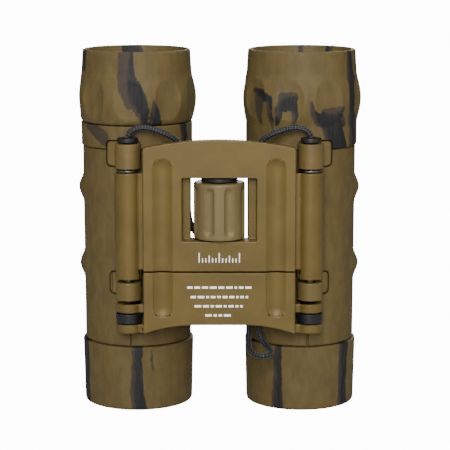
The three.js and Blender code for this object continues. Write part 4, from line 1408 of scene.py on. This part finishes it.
class BINOCULARS_OT_hardware(bpy.types.Operator):
    """Strap plugs, hinge pins and washers"""
    bl_idname = "binoculars.hardware"
    bl_label = "Hardware"

    def execute(self, context):
        for tag in SIDES:
            place = Matrix.Translation((HINGE[tag].x, HINGE[tag].y, 0))
            low, high = span("strap_plug_" + tag)
            radius = half_width("strap_plug_" + tag)
            outline = rounded([(0, low, 0), (radius, low, 0.25), (radius, high - 0.15, 0.4), (1.6, high, 0.3),
                               (1.25, high - 0.5, 0.1), (0, high - 0.5, 0)])
            piece("cord_plug_" + tag, moved(turned(outline, 64), place), "bridge", black_plastic(),
                  ["strap_plug_" + tag])
            low, high = span("hinge_washer_" + tag)
            radius = half_width("hinge_washer_" + tag)
            outline = rounded([(1.8, low, 0), (radius, low, 0.12), (radius, high, 0.12), (1.8, high, 0)])
            piece("washer_" + tag, moved(turned(outline, 64), place), "bridge", steel(),
                  ["hinge_washer_" + tag])
            for name, body, pin in (("hinge_pin_", "bridge", 1.5), ("ear_pin_", "focus_plate", 1.2)):
                low, high = span(name + tag)
                outline = rounded([(0, low, 0), (pin, low, 0.2), (pin, high, 0.2), (0, high, 0)])
                piece("turned_" + name + tag, moved(turned(outline, 48), place), body, steel(),
                      [name + tag])
        return {"FINISHED"}


INNER_FINISHES = {
    "focus_spindle": steel, "focus_nut": brass, "dioptre_sleeve": black_metal, "eyepiece_housing": black_plastic,
    "eyepiece_cell": black_metal, "field_lens": coated_lens, "lens_spacer": black_metal, "field_stop": black_metal,
    "prism_cage": black_plastic, "half_prism": prism_glass, "roof_prism": prism_glass,
    "objective_flint": coated_lens,
}


class BINOCULARS_OT_inner(bpy.types.Operator):
    """Finishes of the pieces inside the barrels and the bridge"""
    bl_idname = "binoculars.inner"
    bl_label = "Inner pieces"

    def execute(self, context):
        for name, obj in frame["nodes"].items():
            if obj.hide_render:
                continue
            plain = name.removesuffix("_left").removesuffix("_right")
            if plain not in INNER_FINISHES:
                raise RuntimeError(f"no finish for {name}")
            material = INNER_FINISHES[plain]()
            if not obj.material_slots:
                obj.data.materials.append(material)
            for place in obj.material_slots:
                place.material = material
        return {"FINISHED"}


class BINOCULARS_PT_panel(bpy.types.Panel):
    """Buttons and settings of the binoculars"""
    bl_idname = "BINOCULARS_PT_panel"
    bl_label = "Compact binoculars"
    bl_space_type = "VIEW_3D"
    bl_region_type = "UI"
    bl_category = "Binoculars"

    def draw(self, context):
        for group in ("finish", "bridge", "wheel", "rubber", "cord"):
            column = self.layout.column(align=True)
            values = getattr(context.scene.binoculars, group)
            for name in values.bl_rna.properties.keys():
                if name not in ("rna_type", "name"):
                    column.prop(values, name)
        for operator in OPERATORS:
            self.layout.operator(operator.bl_idname)


GROUPS = (FinishSettings, BridgeSettings, WheelSettings, RubberSettings, CordSettings, BinocularsSettings)
OPERATORS = (BINOCULARS_OT_stage, BINOCULARS_OT_cord, BINOCULARS_OT_bridge, BINOCULARS_OT_wheel,
             BINOCULARS_OT_barrels, BINOCULARS_OT_sleeves, BINOCULARS_OT_eyecups, BINOCULARS_OT_objectives,
             BINOCULARS_OT_eyepieces, BINOCULARS_OT_hardware, BINOCULARS_OT_inner)
CLASSES = GROUPS + OPERATORS + (BINOCULARS_PT_panel,)


def register():
    for kind in CLASSES:
        bpy.utils.register_class(kind)
    bpy.types.Scene.binoculars = PointerProperty(type=BinocularsSettings, name="Binoculars",
                                                 description="Settings of the binoculars")


def unregister():
    del bpy.types.Scene.binoculars
    for kind in reversed(CLASSES):
        bpy.utils.unregister_class(kind)


def main():
    register()
    for operator in OPERATORS:
        group, name = operator.bl_idname.split(".")
        getattr(getattr(bpy.ops, group), name)()


if __name__ == "__main__":
    main()
